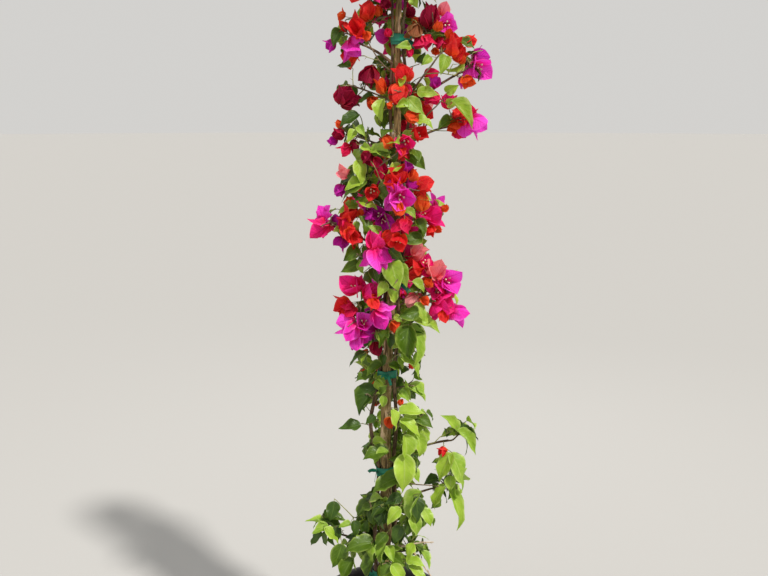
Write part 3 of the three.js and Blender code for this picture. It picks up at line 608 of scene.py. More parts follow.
def scatterChips(name, kind, material):
    # small slabs with jittered corners lying on the soil: boxes of 8 points at random turns and tilts
    seeded, count = np.random.default_rng(kind["seed"]), kind["count"]
    corner = np.array([[x, y, z] for z in (-0.5, 0.5) for y in (-0.5, 0.5) for x in (-0.5, 0.5)])
    shape = corner[None] * seeded.uniform(kind["small"], kind["large"], (count, 3))[:, None]
    shape = shape * seeded.uniform(0.6, 1.15, (count, 8, 3))
    turn, tilt = seeded.uniform(0, 2 * np.pi, count)[:, None], seeded.normal(0, 0.22, count)[:, None]
    x, y, z = np.moveaxis(shape, -1, 0)
    x, z = swung(x, z, tilt)
    x, y = swung(x, y, turn)
    r = (np.sqrt(seeded.uniform(0.018, 0.9, count)) * soil["radius"])[:, None]
    a = seeded.uniform(0, 2 * np.pi, count)[:, None]
    cx, cy = r * np.cos(a), r * np.sin(a)
    cz = soilHeight(cx, cy) + kind["large"][2] * 0.3
    points = np.stack([x + cx, y + cy, z + cz], -1).reshape(-1, 3)
    box = np.array([[0, 2, 3, 1], [4, 5, 7, 6], [0, 1, 5, 4], [2, 6, 7, 3], [0, 4, 6, 2], [1, 3, 7, 5]])
    addPiece(name, points, [copies(box, count, 8)], material, (), "potting_mix").data.shade_flat()


buildSoil()
scatterChips("bark_chips", chips, plainMaterial("barkChip", chipLook))
scatterChips("perlite_grains", grains, plainMaterial("perlite", grainLook))
print("soil: done")

# trunk and climbing stems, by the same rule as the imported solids
trunk = {"foot": 312.3, "top": 2096, "low": 18.5, "high": 6.5, "flare": 13, "flareHeight": 22, "lobes": 5,
         "lobeDepth": 0.13, "footX": -8, "lean": 0.0294, "swayX": 5, "swayY": 7, "sway": 150,
         "twigsFrom": 420}
holds = np.array([434, 753, 1033, 1279, 1596, 1884, 2080.0])
tieHeights = [434, 753, 1033, 1279, 1884]
stems = {
    "stem_left": dict(side=180, foot=345, top=2016, low=6, high=3.6, bows=[9, 22, 6, 9, 5, 6, 0]),
    "stem_right": dict(side=0, foot=520, top=1990, low=6, high=3.4, bows=[6, 8, 7, 9, 20, 6, 0]),
}
limbs = {"trunk": trunk, **stems}
leaving = 75  # height over which a climbing stem moves out from the trunk


def axisAt(z):
    z = np.asarray(z, float)
    rise = (z - soil["top"]) / trunk["sway"]
    x = trunk["footX"] + trunk["lean"] * (z - soil["top"]) + trunk["swayX"] * np.sin(rise)
    return np.stack([x, trunk["swayY"] * np.sin(rise * 0.8), z], -1)


def trunkRadius(z):
    rise = np.asarray(z, float) - soil["top"]
    share = np.maximum(rise, 0) / (trunk["top"] - soil["top"])
    flare = trunk["flare"] * np.exp(-rise / trunk["flareHeight"])
    return lerp(trunk["low"], trunk["high"], share**0.9) + flare


def limbAt(name, z):
    # the middle and radius of the trunk, or of a stem beside it, which bows out between two holds as a
    # squared sine
    if name == "trunk":
        return axisAt(z), trunkRadius(z)
    stem, z = stems[name], np.asarray(z, float)
    radius = lerp(stem["low"], stem["high"], (z - stem["foot"]) / (stem["top"] - stem["foot"]))
    span = np.clip(np.searchsorted(holds, z, side="right") - 1, 0, len(holds) - 2)
    along = np.clip((z - holds[span]) / (holds[span + 1] - holds[span]), 0, 1)
    bow = np.array(stem["bows"], float)[span] * np.sin(np.pi * along) ** 2
    away = lerp(0.15, 1, smooth(z, stem["foot"], stem["foot"] + leaving))
    out = (trunkRadius(z) + radius + 0.6 + bow) * away
    turn = np.radians(stem["side"] + 20 * np.sin((z - soil["top"]) / 210))
    offset = np.stack([np.cos(turn) * out, np.sin(turn) * out, np.zeros_like(z)], -1)
    return axisAt(z) + offset, radius


def barkTube(path, radius, relief, lobes=0.0):
    # Rings along the path. The radius gets lobes, ropes that wind slowly, fissures (a ridged noise drawn out
    # along the limb), and flakes that stand proud where a slower noise passes a step. The third value given
    # back is how deep a point lies, which the bark's material darkens as painted shade.
    u, v = ringFrames(path[None])
    angle = circle(relief["sides"])
    around = spin(u[0][:, None], v[0][:, None], angle[:, None])
    length = np.concatenate([[0], np.cumsum(np.linalg.norm(np.diff(path, axis=0), axis=1))])[:, None]
    where = around * relief["girth"] + up * length[..., None]
    along = np.array([1, 1, relief["drawn"]])
    ridge = 1 - np.abs(2 * noiseAt(where, relief["cell"] * along) - 1)
    fine = 1 - np.abs(2 * noiseAt(where + 37, relief["cell"] * 0.5 * along) - 1)
    flake = smooth(noiseAt(where + 91, relief["flakeCell"] * np.array([1, 1, 3.0])), 0.52, 0.58)
    rope = np.sin(angle * 3 + length / 90 + 2 * np.sin(length / 160))
    knots = smooth(noiseAt(where * 0.6 + 13, (14, 14, 22)), 0.7, 0.95)
    change = relief["rope"] * rope + relief["fissure"] * (ridge**3 * -1.0 - fine**4 * 0.5)
    change = change + relief["flake"] * flake + relief["knot"] * knots
    rings = path[:, None] + around * (radius[:, None] * (1 + lobes) + change)[..., None]
    grooveShade = np.clip(ridge**3 * 0.8 + fine**4 * 0.5 - 0.45 * flake, 0, 1)
    points = np.vstack([rings.reshape(-1, 3), path[:1], path[-1:]])
    return points, closedFaces(len(path), relief["sides"]), np.append(grooveShade.ravel(), [0, 0])


trunkBark = dict(rings=620, sides=84, girth=15.0, cell=5.2, drawn=7.0, flakeCell=8.5, rope=0.55, fissure=1.5,
                 flake=0.9, knot=2.4)
stemBark = dict(rings=420, sides=26, girth=6.0, cell=3.2, drawn=6.0, flakeCell=5.0, rope=0.3, fissure=0.5,
                flake=0.3, knot=1.6)
boughBark = dict(stemBark, rings=40, sides=18, rope=0.15, fissure=0.35, flake=0.2, knot=1.0)
# the darkest colour of each bark look is the painted shade in the grooves
barkLook = dict(streaks=130.0, peelScale=62.0, dark=(0.135, 0.088, 0.034), light=(0.31, 0.215, 0.095),
                warm=(0.43, 0.28, 0.1), pale=(0.72, 0.51, 0.32), deep=(0.04, 0.021, 0.011), peeled=0.9)
stemLook = dict(streaks=210.0, peelScale=62.0, dark=(0.065, 0.036, 0.02), light=(0.16, 0.1, 0.058),
                warm=(0.2, 0.125, 0.065), pale=(0.4, 0.28, 0.17), deep=(0.018, 0.011, 0.008), peeled=0.5)
barkOld = barkMaterial("barkOld", barkLook)
barkYoung = barkMaterial("barkYoung", stemLook)


def buildLimbs():
    z = np.linspace(trunk["foot"], trunk["top"], trunkBark["rings"])
    lobes = trunk["lobeDepth"] * np.exp(-(z - soil["top"]) / (2 * trunk["flareHeight"]))[:, None]
    lobes = lobes * np.cos(circle(trunkBark["sides"]) * trunk["lobes"])
    points, faces, grooveShade = barkTube(axisAt(z), trunkRadius(z), trunkBark, lobes)
    addPiece("trunk_bark", points, faces, barkOld, ["trunk"], "bark", fields={"grooveShade": grooveShade})
    for name, stem in stems.items():
        z = np.linspace(stem["foot"] + 6, stem["top"], stemBark["rings"])
        points, faces, grooveShade = barkTube(*limbAt(name, z), stemBark)
        addPiece(name + "_bark", points, faces, barkYoung, [name], "bark", fields={"grooveShade": grooveShade})


buildLimbs()
print("limbs: done")

# Masses of foliage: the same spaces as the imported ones.
# name, middle x y z, reach, shoots, shoots that bloom, tint, limb
masses = [
    ("foot_left_far", -150, -30, 592, 68, 3, 0, "leaf", "stem_left"),
    ("foot_left", -64, -60, 560, 70, 3, 0, "leaf", "stem_left"),
    ("foot_front", 16, -78, 524, 68, 3, 0, "leaf", "trunk"),
    ("foot_right", 88, -12, 520, 70, 3, 0, "leaf", "trunk"),
    ("foot_back", -20, 82, 566, 84, 4, 0, "leaf", "trunk"),
    ("low_front_right", 88, -50, 656, 72, 3, 0, "leaf", "stem_right"),
    ("low_front_left", -32, -60, 672, 68, 3, 0, "leaf", "stem_left"),
    ("low_far_right", 168, -20, 728, 80, 3, 1, "leaf", "stem_right"),
    ("middle_front_right", 58, -58, 796, 66, 3, 0, "leaf", "trunk"),
    ("low_back", 34, 82, 780, 84, 4, 0, "leaf", "trunk"),
    ("middle_left", -44, -22, 838, 56, 2, 0, "leaf", "stem_left"),
    ("middle_far_right", 204, 0, 858, 62, 2, 0, "leaf", "stem_right"),
    ("middle_right", 82, -40, 912, 66, 3, 1, "leaf", "stem_right"),
    ("upper_left", -42, -26, 984, 64, 3, 0, "leaf", "stem_left"),
    ("upper_right", 72, -30, 1008, 58, 2, 0, "leaf", "stem_right"),
    ("middle_back", -10, 84, 1000, 84, 4, 1, "leaf", "trunk"),
    ("leaves_right", 78, -42, 1118, 80, 4, 0, "leaf", "stem_right"),
    ("bloom_left_low", -62, -42, 1196, 90, 4, 4, "magenta", "stem_left"),
    ("bloom_right_low", 126, -24, 1256, 88, 4, 4, "magenta", "stem_right"),
    ("bloom_back_low", 10, 84, 1210, 84, 4, 3, "magenta", "trunk"),
    ("leaves_front", 40, -76, 1314, 70, 3, 1, "leaf", "trunk"),
    ("bloom_front_left", -42, -68, 1352, 74, 3, 3, "magenta", "stem_left"),
    ("bloom_front_low", 16, -78, 1432, 70, 3, 3, "scarlet", "trunk"),
    ("bloom_left", -132, -16, 1440, 80, 4, 4, "magenta", "stem_left"),
    ("bloom_right", 116, -14, 1448, 76, 3, 3, "magenta", "stem_right"),
    ("bloom_back", 36, 84, 1390, 84, 4, 3, "scarlet", "trunk"),
    ("bloom_front", 52, -70, 1530, 76, 4, 4, "magenta", "trunk"),
    ("leaves_left", -62, -30, 1544, 76, 3, 1, "leaf", "stem_left"),
    ("bloom_back_high", 4, 84, 1566, 84, 4, 3, "magenta", "trunk"),
    ("bloom_front_high", 46, -58, 1640, 66, 3, 3, "crimson", "trunk"),
    ("bloom_left_high", -78, -18, 1658, 74, 3, 2, "scarlet", "stem_left"),
    ("bloom_far_right", 180, -10, 1698, 78, 3, 2, "scarlet", "stem_right"),
    ("bloom_centre_top", 40, -56, 1760, 66, 3, 2, "orange", "trunk"),
    ("bloom_left_upper", -76, -8, 1776, 70, 3, 3, "wine", "stem_left"),
    ("bloom_back_top", 50, 80, 1744, 84, 4, 3, "crimson", "trunk"),
    ("bloom_far_right_top", 214, 0, 1826, 70, 3, 3, "magenta", "stem_right"),
    ("bloom_right_top", 114, -12, 1916, 86, 4, 4, "crimson", "stem_right"),
    ("bloom_left_top", -84, -12, 1896, 88, 4, 4, "scarlet", "stem_left"),
    ("bloom_back_crown", 20, 78, 1930, 82, 4, 3, "magenta", "trunk"),
    ("crown_left", -20, -14, 2050, 74, 3, 3, "scarlet", "stem_left"),
    ("crown_right", 92, 0, 2044, 72, 3, 2, "magenta", "stem_right"),
    ("crown_tip", 42, 6, 2138, 60, 3, 2, "crimson", "trunk"),
]
middles = np.array([m[1:4] for m in masses], float)
reaches = np.array([m[4] for m in masses], float)
massNames = [m[0] for m in masses]
farReach = 104  # a mass further out than this stands on a bough
steps = 7  # points along a twig
tieRoom = {"below": 41, "above": 17}  # heights beside a tie from which nothing grows
stemTwig, shootTwig, fineTwig = (2.6, 1.6), (1.9, 1.2), (1.3, 0.8)  # radius at the foot and the tip
leafStalk, bloomStalk = (0.95, 0.7), (0.8, 0.65)
wood = {"spots": [], "owner": [], "paths": [], "low": [], "high": [], "parent": [], "children": []}


def clearOfTies(z):
    for tie in tieHeights:
        low, high = tie - tieRoom["below"], tie + tieRoom["above"]
        if low < z < high:
            return low if z - low < high - z else high
    return z


def clearOfLimbs(points, gap):
    # true if every point keeps a gap from the bark of the trunk and the stems
    for name, limb in limbs.items():
        centre, radius = limbAt(name, np.clip(points[:, 2], limb["foot"], limb["top"]))
        if np.any(np.linalg.norm(points - centre, axis=1) < radius + gap):
            return False
    return True


def addSpots(points, owner):
    # places that twigs can grow from, and the number of their own twig, or -1 on a limb or bough
    wood["spots"] += list(points)
    wood["owner"] += [owner] * len(points)


def addTwig(path, low, high, parent):
    index = len(wood["paths"])
    for label, value in (("paths", path), ("low", low), ("high", high), ("parent", parent), ("children", 0)):
        wood[label].append(value)
    while parent >= 0:
        wood["children"][parent] += 1
        parent = wood["parent"][parent]
    addSpots(path[1:], index)
    return index


def seedLimbs():
    # the trunk and the stems carry twigs too, so points on them are places to grow from
    for name, limb in limbs.items():
        heights = np.arange(limb.get("twigsFrom", limb["foot"] + 60), limb["top"], 12.0)
        addSpots(limbAt(name, np.array([z for z in heights if clearOfTies(z) == z]))[0], -1)


def rootOf(index):
    # where a mass's stem or bough leaves its limb, by the source's rule: the place, its way there, the level
    # way out to the mass and how far it is, and whether it goes on from the limb's own tip
    middle, limb = middles[index], masses[index][8]
    top = limbs[limb]["top"]
    out = (middle - limbAt(limb, min(middle[2], top))[0]) * [1, 1, 0]
    far = np.linalg.norm(out)
    out = unit(out)
    if middle[2] > top:
        return limbAt(limb, top)[0], up, out, far, True
    start = limbAt(limb, clearOfTies(middle[2] - far * (0.62 if far > farReach else 0.42)))[0]
    return start, unit(out * 0.75 + up * 0.66), out, far, False


def growMass(index):
    # A mass's bough, its stem to the middle of its space, and the shoots from the stem's nodes.
    # It gives the bough's path, or None, and the numbers of the stem and the shoots.
    middle, reach = middles[index], reaches[index]
    start, way, out, far, tip = rootOf(index)
    bough = None
    if not tip and far > farReach:
        end = middle - out * reach * 0.45 - up * reach * 0.3
        bend = start + way * np.linalg.norm(end - start) * 0.5
        bough = bezier(start, bend, end, boughBark["rings"])[0]
        start, way = bough[-1], unit(bough[-1] - bough[-2])
        addSpots(bough[6::3], -1)
    first = start + way * min(16, np.linalg.norm(middle - start) * 0.4)
    end = middle + out * reach * 0.15 + up * reach * (0.25 if tip else 0)
    path = throughPoints([start, first, middle, end], 3 * (steps - 1) + 1)[::3]
    twigs = [addTwig(path, *stemTwig, -1)]
    ways = unit(np.gradient(path, axis=0))
    side = unit(np.cross([np.cos(index * 2.1), np.sin(index * 2.1), 0.3], ways[0]))
    nodes = ((0.55, 0, 0), (0.55, 0, 1), (0.76, 1, 1), (0.76, 1, 2), (1.0, 2, 0))
    for share, node, number in nodes[: masses[index][5]]:
        spot = path[-1] if share == 1 else pathSpot(path, share)[0]
        along = ways[int(share * (steps - 1))]
        square = unit(side - along * np.dot(side, along))
        turn = (number + index) % 3 * 2 * np.pi / 3 + np.pi / 3
        radial = spin(square, np.cross(along, square), turn)
        across = np.cross(along, radial)
        seed = index * 31 + node * 7 + number
        for attempt in range(5):
            way = spin(radial, along, lerp(0.15, 0.8, chance(seed, attempt)))
            way = unit(way + across * 0.7 * (chance(seed, attempt + 0.5) - 0.5) + up * 0.12)
            length = reach * lerp(0.32, 0.5, chance(seed, attempt + 0.25))
            end = spot + way * length
            if np.linalg.norm(end - middle) < reach * 0.8 and clearOfLimbs(end[None], 6):
                break
        bend = spot + way * length * 0.5 + radial * length * 0.06
        twigs.append(addTwig(bezier(spot, bend, end, steps)[0], *shootTwig, twigs[0]))
    return bough, twigs


seedLimbs()
boughPaths, massTwigs = {}, []
for index, name in enumerate(massNames):
    bough, twigs = growMass(index)
    massTwigs.append(twigs)
    if bough is not None:
        boughPaths[name] = bough
print("masses:", len(masses), "boughs:", len(boughPaths), "twigs:", len(wood["paths"]))


def outFrom(points):
    # the level way from the trunk's middle line to each point
    return (points - axisAt(points[..., 2])) * [1, 1, 0]


def outwards(points):
    return np.linalg.norm(outFrom(points), axis=-1)


def growTo(target, low=1.5, high=0.9):
    # A twig to the target from the best piece of wood: near, below it and nearer to the trunk. It gives its
    # path.
    spots = np.array(wood["spots"])
    away = target - spots
    far = np.linalg.norm(away, axis=1)
    inward = outwards(target) - outwards(spots)
    cost = far + 0.6 * np.maximum(0, -away[:, 2]) + 0.8 * np.maximum(0, -inward)
    best = int(np.argmin(cost))
    start, distance = spots[best], far[best]
    sway = unit(np.cross(away[best], up)) * distance * 0.12 * dice.uniform(-1, 1)
    bend = (start + target) / 2 + up * distance * dice.uniform(0.02, 0.16) + sway
    path = bezier(start, bend, target, steps)[0]
    addTwig(path, low, high, wood["owner"][best])
    return path


# Blooms whose place the photograph gives: pixel u v, depth y in mm, width across in pixels, how open from 0
# to 1, the way its tips point in degrees from the right of the picture, how far it faces the viewer from 0
# to 1, tint
blooms = [
    (367, 11, -15, 19, 0.45, 95, 0.2, "scarlet"), (378, 11, -10, 8, 0.2, 80, 0.2, "orange"),
    (385, 3, -26, 14, 0.5, -40, 0.3, "wine"), (388, 33, -34, 9, 0.4, 120, 0.3, "crimson"),
    (342, 15, -10, 14, 0.8, 150, 0.2, "orange"), (355, 25, -25, 24, 0.5, 110, 0.3, "scarlet"),
    (344, 27, -5, 12, 0.5, 170, 0.2, "scarlet"), (367, 36, -30, 8, 0.2, -80, 0.2, "orange"),
    (350, 48, -20, 29, 0.75, -80, 0.1, "magenta"), (331, 45, 0, 14, 0.5, 205, 0.1, "violet"),
    (369, 75, -20, 22, 0.45, -100, 0.2, "wine"), (343, 96, -15, 23, 0.5, 75, 0.2, "wine"),
    (355, 100, -5, 11, 0.4, -20, 0.2, "wine"), (381, 86, -40, 14, 0.25, 100, 0.2, "orange"),
    (373, 103, -30, 10, 0.2, 160, 0.2, "orange"), (400, 74, -45, 17, 0.35, 115, 0.2, "scarlet"),
    (398, 94, -52, 16, 0.2, -85, 0.1, "scarlet"), (408, 90, -35, 10, 0.3, -60, 0.2, "crimson"),
    (412, 117, -55, 13, 0.3, 180, 0.2, "orange"), (415, 31, -25, 20, 0.5, -110, 0.2, "withered"),
    (421, 42, -20, 19, 0.6, -115, 0.2, "crimson"), (430, 16, -15, 23, 0.3, 92, 0.1, "wine"),
    (447, 24, -10, 22, 0.8, 20, 0.9, "magenta"), (438, 26, -25, 10, 0.3, 80, 0.2, "orange"),
    (440, 42, -10, 13, 0.5, -70, 0.2, "crimson"), (453, 46, -15, 20, 0.35, 75, 0.2, "scarlet"),
    (470, 41, 0, 11, 0.3, 10, 0.1, "scarlet"), (449, 34, -20, 8, 0.3, 60, 0.2, "orange"),
    (480, 67, -10, 31, 0.7, -15, 0.6, "magenta"), (467, 81, -25, 16, 0.5, -60, 0.5, "orange"),
    (462, 59, -15, 8, 0.2, 60, 0.2, "orange"), (435, 83, -10, 16, 0.6, 100, 0.3, "violet"),
    (432, 97, -15, 19, 0.7, -95, 0.2, "crimson"), (461, 118, -15, 18, 0.6, -140, 0.3, "scarlet"),
    (454, 126, -25, 15, 0.5, -120, 0.3, "orange"), (476, 124, -15, 27, 0.6, -35, 0.3, "magenta"),
    (471, 113, -8, 16, 0.5, 70, 0.2, "crimson"), (406, 142, -68, 23, 0.6, -70, 0.8, "rose"),
    (403, 153, -60, 16, 0.5, -100, 0.2, "scarlet"), (387, 142, -55, 11, 0.2, 115, 0.1, "orange"),
    (339, 134, -15, 13, 0.4, 175, 0.2, "wine"), (333, 141, -5, 11, 0.4, 200, 0.2, "violet"),
    (345, 149, -20, 16, 0.5, 215, 0.2, "crimson"), (354, 145, -10, 13, 0.5, -60, 0.2, "wine"),
    (368, 157, -40, 14, 0.3, -90, 0.2, "wine"), (410, 53, -40, 7, 0.2, -80, 0.2, "crimson"),
    (410, 12, 25, 12, 0.4, 60, 0.2, "wine"), (377, 163, -45, 14, 0.4, -60, 0.2, "crimson"),
    (344, 173, -30, 16, 0.5, 140, 0.2, "pink"), (382, 172, -50, 13, 0.3, 60, 0.2, "crimson"),
    (399, 176, -78, 22, 0.5, 92, 0.1, "scarlet"), (408, 168, -70, 14, 0.5, 70, 0.2, "violet"),
    (413, 175, -75, 10, 0.2, 80, 0.1, "orange"), (424, 185, -60, 20, 0.5, 5, 0.2, "scarlet"),
    (401, 197, -92, 30, 0.75, -60, 0.7, "magenta"), (396, 187, -84, 18, 0.4, 100, 0.1, "magenta"),
    (411, 184, -66, 18, 0.6, 60, 0.3, "violet"), (372, 191, -55, 18, 0.6, -60, 0.7, "scarlet"),
    (340, 190, -10, 14, 0.4, -100, 0.2, "violet"), (349, 202, -20, 9, 0.2, 90, 0.2, "orange"),
    (361, 213, -40, 8, 0.2, 90, 0.2, "orange"), (399, 209, -98, 11, 0.2, -90, 0.2, "orange"),
    (422, 203, -55, 15, 0.3, 80, 0.2, "orange"), (434, 217, -30, 31, 0.6, 8, 0.3, "rose"),
    (431, 230, -38, 12, 0.4, -90, 0.2, "scarlet"), (320, 226, -15, 29, 0.5, 203, 0.1, "rose"),
    (324, 214, -10, 21, 0.6, 110, 0.4, "magenta"), (335, 221, 5, 15, 0.5, 0, 0.2, "violet"),
    (349, 214, -38, 21, 0.5, 80, 0.2, "scarlet"), (345, 222, -36, 18, 0.5, 200, 0.3, "crimson"),
    (348, 230, -45, 17, 0.3, 85, 0.1, "scarlet"), (369, 214, -45, 17, 0.6, -60, 0.3, "violet"),
    (383, 221, -55, 22, 0.8, -60, 0.8, "violet"), (404, 213, -50, 14, 0.5, 60, 0.2, "violet"),
    (403, 226, -92, 22, 0.6, -90, 0.2, "crimson"), (340, 242, -20, 18, 0.6, -120, 0.2, "violet"),
    (354, 238, -55, 21, 0.5, -60, 0.2, "scarlet"), (389, 237, -88, 18, 0.5, 20, 0.3, "scarlet"),
    (372, 258, -92, 34, 0.65, -98, 0.05, "magenta"), (375, 240, -86, 20, 0.3, 88, 0.05, "rose"),
    (384, 262, -84, 18, 0.5, -20, 0.1, "magenta"), (418, 251, -45, 16, 0.4, 55, 0.2, "pink"),
    (415, 268, -45, 26, 0.6, 150, 0.3, "scarlet"), (425, 262, -40, 18, 0.6, 80, 0.4, "rose"),
    (436, 270, -42, 24, 0.5, 88, 0.3, "pink"), (448, 280, -30, 32, 0.7, 20, 0.7, "magenta"),
    (438, 290, -36, 22, 0.6, 200, 0.4, "rose"), (429, 283, -60, 11, 0.4, 90, 0.3, "orange"),
    (444, 303, -38, 30, 0.6, -12, 0.3, "rose"), (443, 316, -52, 12, 0.4, -100, 0.2, "scarlet"),
    (458, 314, -20, 25, 0.5, -32, 0.1, "magenta"), (414, 300, -30, 20, 0.6, -120, 0.3, "pink"),
    (425, 301, -50, 10, 0.3, -60, 0.2, "orange"), (353, 287, -52, 27, 0.6, 120, 0.3, "rose"),
    (370, 293, -62, 24, 0.6, 20, 0.3, "rose"), (342, 304, -20, 21, 0.45, 190, 0.1, "scarlet"),
    (350, 330, -58, 31, 0.6, 222, 0.2, "magenta"), (364, 322, -56, 24, 0.7, 80, 0.6, "magenta"),
    (380, 318, -72, 24, 0.5, -55, 0.1, "magenta"), (357, 342, -45, 20, 0.6, -85, 0.2, "magenta"),
    (352, 312, -40, 16, 0.5, -100, 0.2, "crimson"), (373, 303, -78, 16, 0.5, -60, 0.2, "scarlet"),
    (395, 326, -66, 11, 0.3, -60, 0.3, "orange"), (376, 348, -50, 14, 0.4, -70, 0.2, "wine"),
    (389, 423, -52, 9, 0.2, -90, 0.1, "orange"), (443, 451, -28, 14, 0.6, 200, 0.2, "scarlet"),
]
# the left and right edge of the leaves and blooms, in pixels at every 30th row from the top of the picture
edges = {
    "row": 30,
    "left": (350, 330, 334, 333, 333, 328, 335, 306, 330, 336, 332, 336, 349, 350, 338, 360, 368, 305, 318,
             330),
    "right": (458, 464, 492, 480, 482, 424, 432, 450, 430, 460, 464, 444, 424, 426, 478, 478, 468, 466, 430,
              430),
}
# where the photograph shows through the crown: discs, as pixel u v and radius in pixels
openings = [
    (456, 10, 6), (418, 12, 5), (378, 27, 5), (460, 29, 5), (372, 51, 5), (380, 52, 6), (363, 60, 3),
    (412, 58, 5), (453, 62, 4), (414, 70, 6), (336, 74, 6), (346, 76, 6), (438, 79, 3), (417, 80, 4),
    (357, 89, 4), (368, 90, 4), (468, 97, 6), (480, 95, 7), (436, 104, 3), (425, 108, 5), (345, 113, 4),
    (358, 112, 4), (371, 115, 6), (440, 115, 5), (440, 138, 7), (428, 143, 8), (335, 161, 5), (429, 172, 5),
    (326, 198, 8), (430, 245, 5), (407, 247, 4), (334, 254, 6), (432, 345, 8), (342, 350, 6), (371, 358, 4),
    (355, 368, 4), (430, 366, 8), (406, 378, 5), (352, 386, 7), (366, 386, 4), (426, 380, 6), (349, 396, 6),
    (372, 408, 3), (430, 405, 6), (439, 424, 4), (364, 435, 7), (455, 445, 5), (437, 441, 3), (427, 467, 6),
    (366, 469, 7), (362, 485, 7), (352, 499, 8), (427, 501, 3), (442, 515, 7),
]
